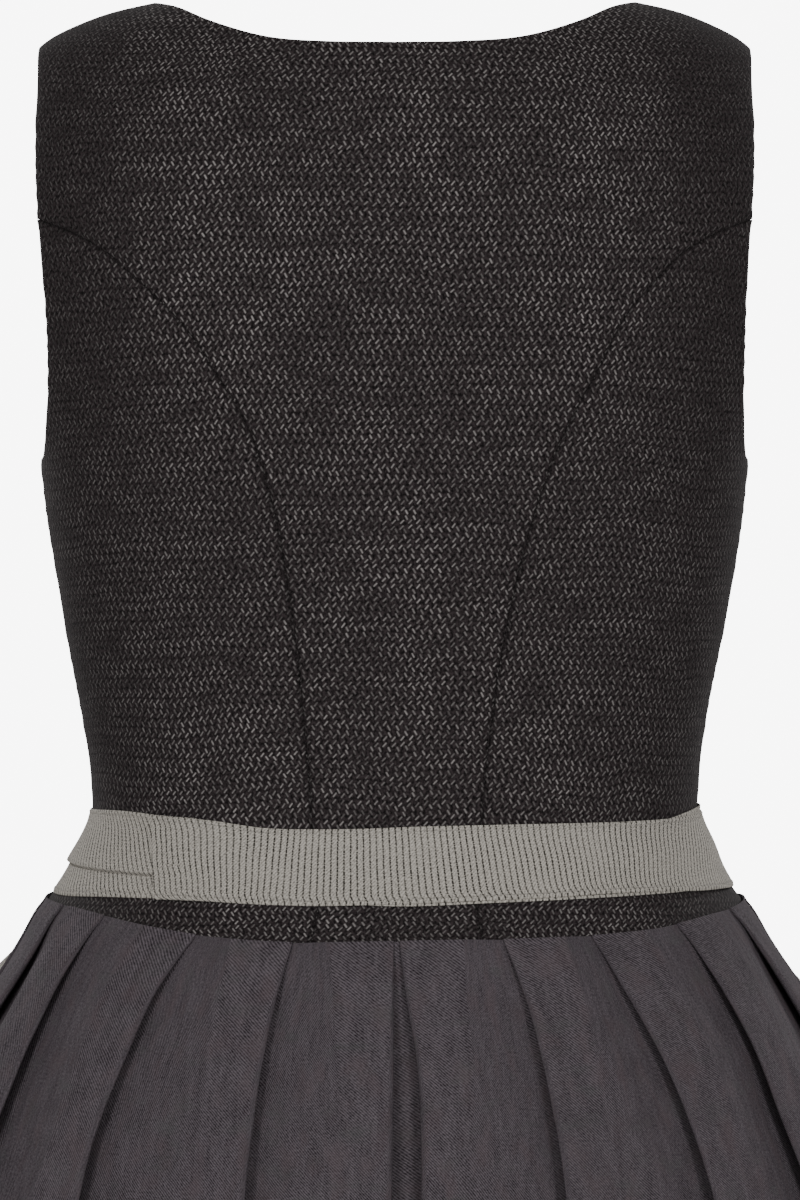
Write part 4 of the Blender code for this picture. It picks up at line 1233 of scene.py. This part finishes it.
def band_surface(turn, share):
    """The strip's outer points, outward directions and heights above its lower edge."""
    top, low = read(BAND_EDGES, "top", turn), read(BAND_EDGES, "low", turn)
    nearness = smooth_step(share / FOLD_ROW) * smooth_step((1 - share) / (1 - FOLD_ROW))
    z = low + (top - low) * share
    z = z + nearness * (FOLD_HEIGHT - low - (top - low) * FOLD_ROW)
    joined = smooth_step((turn - 18) / 30)
    corner = np.clip(END_CORNER - (z - low), 0.0, END_CORNER)
    cut = END_CORNER - np.sqrt(END_CORNER**2 - corner**2)
    slope = (z + 0.3455) / 0.0165 * END_SLOPE - np.degrees(cut / 0.13)
    angle = np.radians(turn + joined * slope)
    lapped = 1 - smooth_step((BAND_STARTS - turn) / RAMP_TURN - 0.65)
    over = smooth_step((14 - turn) / 9) * smooth_step((turn + 165) / 12)
    lift = BAND_GAP + BAND_WALL + lapped * (BAND_WALL + BAND_GAP) + over * (UNDER_WALL + 0.0001)
    lift = lift + edge_roll(z - low) + edge_roll(top - z) + left_fold(turn, z) + end_puckers(turn, z)
    points, outward = body_ring(angle, z)
    return points + outward * lift[..., None], outward, z - low


def strip_way(outer):
    """Lengths along a strip's middle row."""
    middle = outer[len(outer) // 2]
    return np.append(0.0, np.cumsum(np.linalg.norm(np.diff(middle, axis=0), axis=1)))


fine = np.linspace(0, 1, 2001)
closeness = 1 + 9.0 * bell(fine, FOLD_ROW, 0.022) + 2.5 * bell(fine, 0.0, 0.08) + 2.5 * bell(fine, 1.0, 0.08)
closeness = np.append(0.0, np.cumsum(closeness[1:] + closeness[:-1]))
shares = np.interp(np.linspace(0, closeness[-1], BAND_ROWS), closeness, fine)
turn, share = np.meshgrid(np.linspace(BAND_STARTS, BAND_ENDS, BAND_COLUMNS), shares)
outer, outward, rise = band_surface(turn, share)
band_way = strip_way(outer)
shear = 0.0013 * smooth_step((0.0034 - rise) / 0.0034)
lean = 0.06 + 0.70 * smooth_step((-230.0 - turn) / 40.0)
lean = lean - 0.50 * bell(turn, -62.0, 24.0) - 0.80 * bell(turn, -88.0, 20.0)
uv = np.stack(np.broadcast_arrays(band_way - shear + lean * (rise - 0.017), rise), axis=-1)
band = closed_wall("apron_band", outer, outward, BAND_WALL, uv, stripe, BAND_WALL / 2)
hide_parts("apron_band")

under_rows = np.linspace(0, 1, 26)
under_shares = under_rows - 0.62 * np.sin(2 * np.pi * under_rows) / (2 * np.pi)
turn, share = np.meshgrid(np.linspace(*UNDER_ENDS, 260), under_shares)
top, low = read(UNDER_EDGES, "top", turn), read(UNDER_EDGES, "low", turn)
z = low + (top - low) * share
points, outward = body_ring(np.radians(turn), z)
swell = 0.00022 * bell(z - low, 0.0003, 0.0005) - 0.00018 * bell(z - low, 0.0010, 0.0004)
flap = 0.0006 * bell(turn, -82.0, 18.0) * smooth_step((z + 0.334) / 0.006)
under_outer = points + outward * (BAND_GAP + UNDER_WALL + swell + flap)[..., None]
under_uv = np.stack(np.broadcast_arrays(strip_way(under_outer), z), axis=-1)
under = closed_wall(
    "apron_band_under", under_outer, outward, UNDER_WALL, under_uv, stripe, UNDER_WALL / 2
)
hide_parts("apron_band")


# ---- Stitches of the band -----------------------------------------------------------------------
# Straight machine stitches in thread of the cloth's own light colour run along both edges of the
# band. Each stitch is a short rounded piece of thread that dips into the cloth at its ends.
THREAD_COLOUR = (0.330, 0.310, 0.285)
STITCH_SIDES = 6
STITCH_PROFILE = table(
    "along rise width",
    (-0.50, -1.6, 0.30),
    (-0.40, 0.2, 0.90),
    (-0.15, 1.0, 1.00),
    (0.15, 1.0, 1.00),
    (0.40, 0.2, 0.90),
    (0.50, -1.6, 0.30),
)

thread, tree, shader, u, v, uv_vector = cloth_material("thread", 0.70, 0.20)
twist = math_node(tree, "SINE", math_node(tree, "MULTIPLY", math_node(tree, "ADD", u, v), 9000.0))
shine = ramp(tree, twist, -1.0, 1.0)
darker = tuple(0.62 * part for part in THREAD_COLOUR)
tree.links.new(mixed(tree, shine, darker, THREAD_COLOUR), shader.inputs["Base Color"])
raise_cloth(tree, shader, shine, 0.00005)


def add_stitches(name, path, outward, node):
    """Thread pieces along a path, each a tube of rings whose rise and width follow the profile."""
    lengths = np.append(0.0, np.cumsum(np.linalg.norm(np.diff(path, axis=0), axis=1)))
    count = int(lengths[-1] / STITCH_PITCH)
    starts = (np.arange(count) + 0.5) * STITCH_PITCH
    places = starts[:, None] + STITCH_PROFILE["along"] * STITCH_LENGTH

    def at(values, where):
        """Values along the path, read at lengths along it."""
        return np.stack([np.interp(where, lengths, values[:, axis]) for axis in range(3)], axis=-1)

    middle = at(path, places)
    out = unit(at(outward, places))
    along = unit(at(path, places + 0.0002) - at(path, places - 0.0002))
    side = np.cross(out, along)
    middle = middle + out * (STITCH_PROFILE["rise"] * THREAD_RADIUS)[:, None]
    turns = np.linspace(0, 2 * np.pi, STITCH_SIDES, endpoint=False)
    ring = out[:, :, None] * np.cos(turns)[:, None] + side[:, :, None] * np.sin(turns)[:, None]
    points = middle[:, :, None] + ring * (THREAD_RADIUS * STITCH_PROFILE["width"])[:, None, None]
    rings = len(STITCH_PROFILE["along"])
    number = np.arange(points.size // 3).reshape(count, rings, STITCH_SIDES)
    near, far = number[:, :-1], number[:, 1:]
    faces = np.stack([near, far, np.roll(far, -1, axis=2), np.roll(near, -1, axis=2)], axis=-1)
    caps = [number[:, 0, :].tolist(), number[:, -1, ::-1].tolist()]
    mesh = bpy.data.meshes.new(name)
    mesh.from_pydata(points.reshape(-1, 3).tolist(), [], faces.reshape(-1, 4).tolist() + caps[0] + caps[1])
    round_way, long_way = np.meshgrid(turns * THREAD_RADIUS, np.arange(rings) * 0.0004)
    ring_uv = np.stack([long_way, round_way], axis=-1)
    all_uv = np.broadcast_to(ring_uv, (count, rings, STITCH_SIDES, 2)).reshape(-1, 2)
    corners = np.empty(len(mesh.loops), dtype=np.int32)
    mesh.loops.foreach_get("vertex_index", corners)
    mesh.uv_layers.new(name="cloth").data.foreach_set("uv", all_uv[corners].ravel())
    mesh.materials.append(thread)
    piece = put_in_scene(name, mesh)
    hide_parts(node)
    return piece


band_turns = np.linspace(BAND_STARTS - 0.6, BAND_ENDS + 9.0, 1500)
band_heights = read(BAND_EDGES, "top", band_turns) - read(BAND_EDGES, "low", band_turns)
for name, share in (
    ("apron_band_lower_stitches", STITCH_FROM_EDGE / band_heights),
    ("apron_band_upper_stitches", 1 - STITCH_FROM_EDGE / band_heights),
):
    path, outward, _ = band_surface(band_turns, share)
    add_stitches(name, path, outward, "apron_band")


# ---- Apron --------------------------------------------------------------------------------------
# A panel of the same striped cloth, gathered into the band at the front and open at the back. It
# is shorter than the skirt and lies over its pleats in soft upright folds. Its sides have narrow
# stitched hems and its lower edge a wide one.
APRON_WALL = 0.0008
APRON_STARTS = 0.565
APRON_LENGTH_SHARE = 0.885
APRON_GATHERS = 9
APRON_GATHER_DEPTH = 0.012
APRON_CLEARANCE = 0.0006
APRON_COLUMNS = 330
APRON_ROWS = 100
SIDE_HEM = 0.010
LOWER_HEM = 0.045
HEM_STEP = 0.0004
STITCH_FROM_HEM = 0.0022


def apron_surface(spread, down):
    """Points at a share of the panel's width and a distance down: the skirt's form, moved out.

    The way out is the clearance, the gathers' waves, whose ridges wander a little, slow ripples,
    fine tucks that die out below the band, and the thickness of the hems.
    """
    half_girth, way, ring_angles = way_round(down)
    ring_angle = np.interp((APRON_STARTS + (2 - 2 * APRON_STARTS) * spread) * half_girth, way, ring_angles)
    drop = np.full(spread.shape, down)
    out = skirt_outward(ring_angle, drop)
    wander = 0.010 * np.sin(2 * np.pi * 3 * spread + 0.6 + 5 * down)
    wander += 0.006 * np.sin(2 * np.pi * 7 * spread + 9 * down)
    waves = ((1 - np.cos(2 * np.pi * APRON_GATHERS * (spread + wander))) / 2) ** 1.6
    waves = waves * (0.75 + 0.25 * np.sin(2 * np.pi * 2.3 * spread + 1.1))
    gather = APRON_GATHER_DEPTH * smooth_step(down / 0.06) * waves
    ripple = np.abs(soft_waves(spread * 30, np.array(down * 20), 5)) * 0.0014 * smooth_step(down / 0.1)
    tucks = np.abs(np.sin(np.pi * 55 * (spread + 0.6 * wander))) * 0.0011 * np.exp(-down / 0.045)
    width = np.linalg.norm(np.diff(skirt_points(ring_angle, drop), axis=0), axis=1).sum()
    from_side = np.minimum(spread, 1 - spread) * width
    side_hem = 1 - smooth_step((from_side - SIDE_HEM) / 0.0006)
    lower_hem = smooth_step((down - APRON_LONG + LOWER_HEM) / 0.0015)
    rise = APRON_CLEARANCE + APRON_WALL + gather + ripple + tucks
    rise = rise + HEM_STEP * np.maximum(side_hem, lower_hem)
    return skirt_points(ring_angle, drop) + out * rise[:, None], out


APRON_LONG = SKIRT_LENGTH * APRON_LENGTH_SHARE
edge_crowd = np.linspace(0, 1, APRON_COLUMNS)
spread = edge_crowd - 0.35 * np.sin(2 * np.pi * edge_crowd) / (2 * np.pi)
upper_downs = np.linspace(0, 1, APRON_ROWS - 24) ** 1.3 * (APRON_LONG - LOWER_HEM - 0.002)
lower_downs = np.append(
    np.linspace(APRON_LONG - LOWER_HEM, APRON_LONG - LOWER_HEM + 0.002, 5),
    np.linspace(APRON_LONG - LOWER_HEM + 0.005, APRON_LONG, 19),
)
half_girth, way, ring_angles = way_round(0.0)
shares = APRON_STARTS + (2 - 2 * APRON_STARTS) * spread
top_z = np.full(APRON_COLUMNS, BAND_BOTTOM - SEAM_GAP - APRON_WALL / 2)
top_points, top_outward = body_ring(np.interp(shares * half_girth, way, ring_angles), top_z)
outer = [top_points + top_outward * (SEAM_GAP + APRON_WALL)]
outward = [top_outward]
for down in np.append(upper_downs, lower_downs):
    row_points, row_outward = apron_surface(spread, down)
    outer.append(row_points)
    outward.append(row_outward)
outer, outward = np.array(outer), np.array(outward)
apron_way = strip_way(outer)
fall = np.linalg.norm(np.diff(outer[:, APRON_COLUMNS // 2], axis=0), axis=1)
fall = np.append(0.0, np.cumsum(fall))
uv = np.stack(np.broadcast_arrays(apron_way, -fall[:, None]), axis=-1)
apron = closed_wall("apron", outer, outward, APRON_WALL, uv, stripe, APRON_WALL / 2)
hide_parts("apron")
hem_spread = np.linspace(0.004, 0.996, 1400)
path, out = apron_surface(hem_spread, APRON_LONG - LOWER_HEM + 0.004)
add_stitches("apron_hem_stitches", path, out, "apron")
side_rows = []
for down in np.linspace(0.012, APRON_LONG - 0.004, 220):
    part = (SIDE_HEM - STITCH_FROM_HEM) / (2 * (1 - APRON_STARTS) * way_round(down)[0])
    side_rows.append(apron_surface(np.array([part, 1 - part]), down))
for name, side in (("apron_left_hem_stitches", 0), ("apron_right_hem_stitches", 1)):
    path = np.array([points[side] for points, _ in side_rows])
    out = np.array([outwards[side] for _, outwards in side_rows])
    add_stitches(name, path, out, "apron")


# ---- Floor and light ----------------------------------------------------------------------------
# The garment hangs a little above a plain pale floor before plain white. Soft light comes from a
# square panel on each side of the camera and two like ones at the front.
HANGS_ABOVE_FLOOR = 0.06
FLOOR_HEIGHT = HEM - HANGS_ABOVE_FLOOR
FLOOR_RADIUS = 4.0
SURROUND_LIGHT = 0.42
WHITE_SEEN = 8.0
LIGHT_AIM = (0.0, 0.0, -0.40)
LIGHT_SIZE = 1.1

pale = bpy.data.materials.new("pale_floor")
pale.use_nodes = True
tree = pale.node_tree
speckle = tree.nodes.new("ShaderNodeTexNoise")
speckle.inputs["Scale"].default_value = 30.0
place = tree.nodes.new("ShaderNodeTexCoord")
tree.links.new(place.outputs["Object"], speckle.inputs["Vector"])
shade = ramp(tree, speckle.outputs["Fac"], 0.3, 0.7)
tree.links.new(
    mixed(tree, shade, (0.84, 0.84, 0.84), (0.88, 0.88, 0.88)),
    tree.nodes["Principled BSDF"].inputs["Base Color"],
)
tree.nodes["Principled BSDF"].inputs["Roughness"].default_value = 0.9
round_floor = np.linspace(0, 2 * np.pi, 96, endpoint=False)
floor_points = np.stack(
    [np.cos(round_floor) * FLOOR_RADIUS, np.sin(round_floor) * FLOOR_RADIUS, 0 * round_floor + FLOOR_HEIGHT],
    axis=1,
)
floor_mesh = bpy.data.meshes.new("floor")
floor_mesh.from_pydata(floor_points.tolist(), [], [list(range(96))])
floor_mesh.materials.append(pale)
floor = bpy.data.objects.new("floor", floor_mesh)
bpy.context.scene.collection.objects.link(floor)

world = bpy.data.worlds.new("studio")
world.use_nodes = True
tree = world.node_tree
background = tree.nodes["Background"]
background.inputs["Color"].default_value = (1.0, 1.0, 1.0, 1.0)
seen = tree.nodes.new("ShaderNodeLightPath")
strength = math_node(
    tree, "MULTIPLY_ADD", seen.outputs["Is Camera Ray"], WHITE_SEEN - SURROUND_LIGHT, SURROUND_LIGHT
)
tree.links.new(strength, background.inputs["Strength"])
bpy.context.scene.world = world


def add_light(name, place, watts):
    """A square soft light that faces the aim."""
    lamp = bpy.data.lights.new(name, "AREA")
    lamp.shape = "SQUARE"
    lamp.size = LIGHT_SIZE
    lamp.energy = watts
    panel = bpy.data.objects.new(name, lamp)
    panel.location = place
    away = np.array(place) - np.array(LIGHT_AIM)
    pitch = np.arctan2(np.hypot(away[0], away[1]), away[2])
    panel.rotation_euler = (pitch, 0.0, np.arctan2(away[0], -away[1]))
    bpy.context.scene.collection.objects.link(panel)


add_light("back_left_light", (2.2, 3.1, 1.2), 66.0)
add_light("back_right_light", (-2.2, 3.1, 1.2), 66.0)
add_light("front_left_light", (2.2, -3.1, 1.2), 66.0)
add_light("front_right_light", (-2.3, -3.1, 1.2), 70.0)
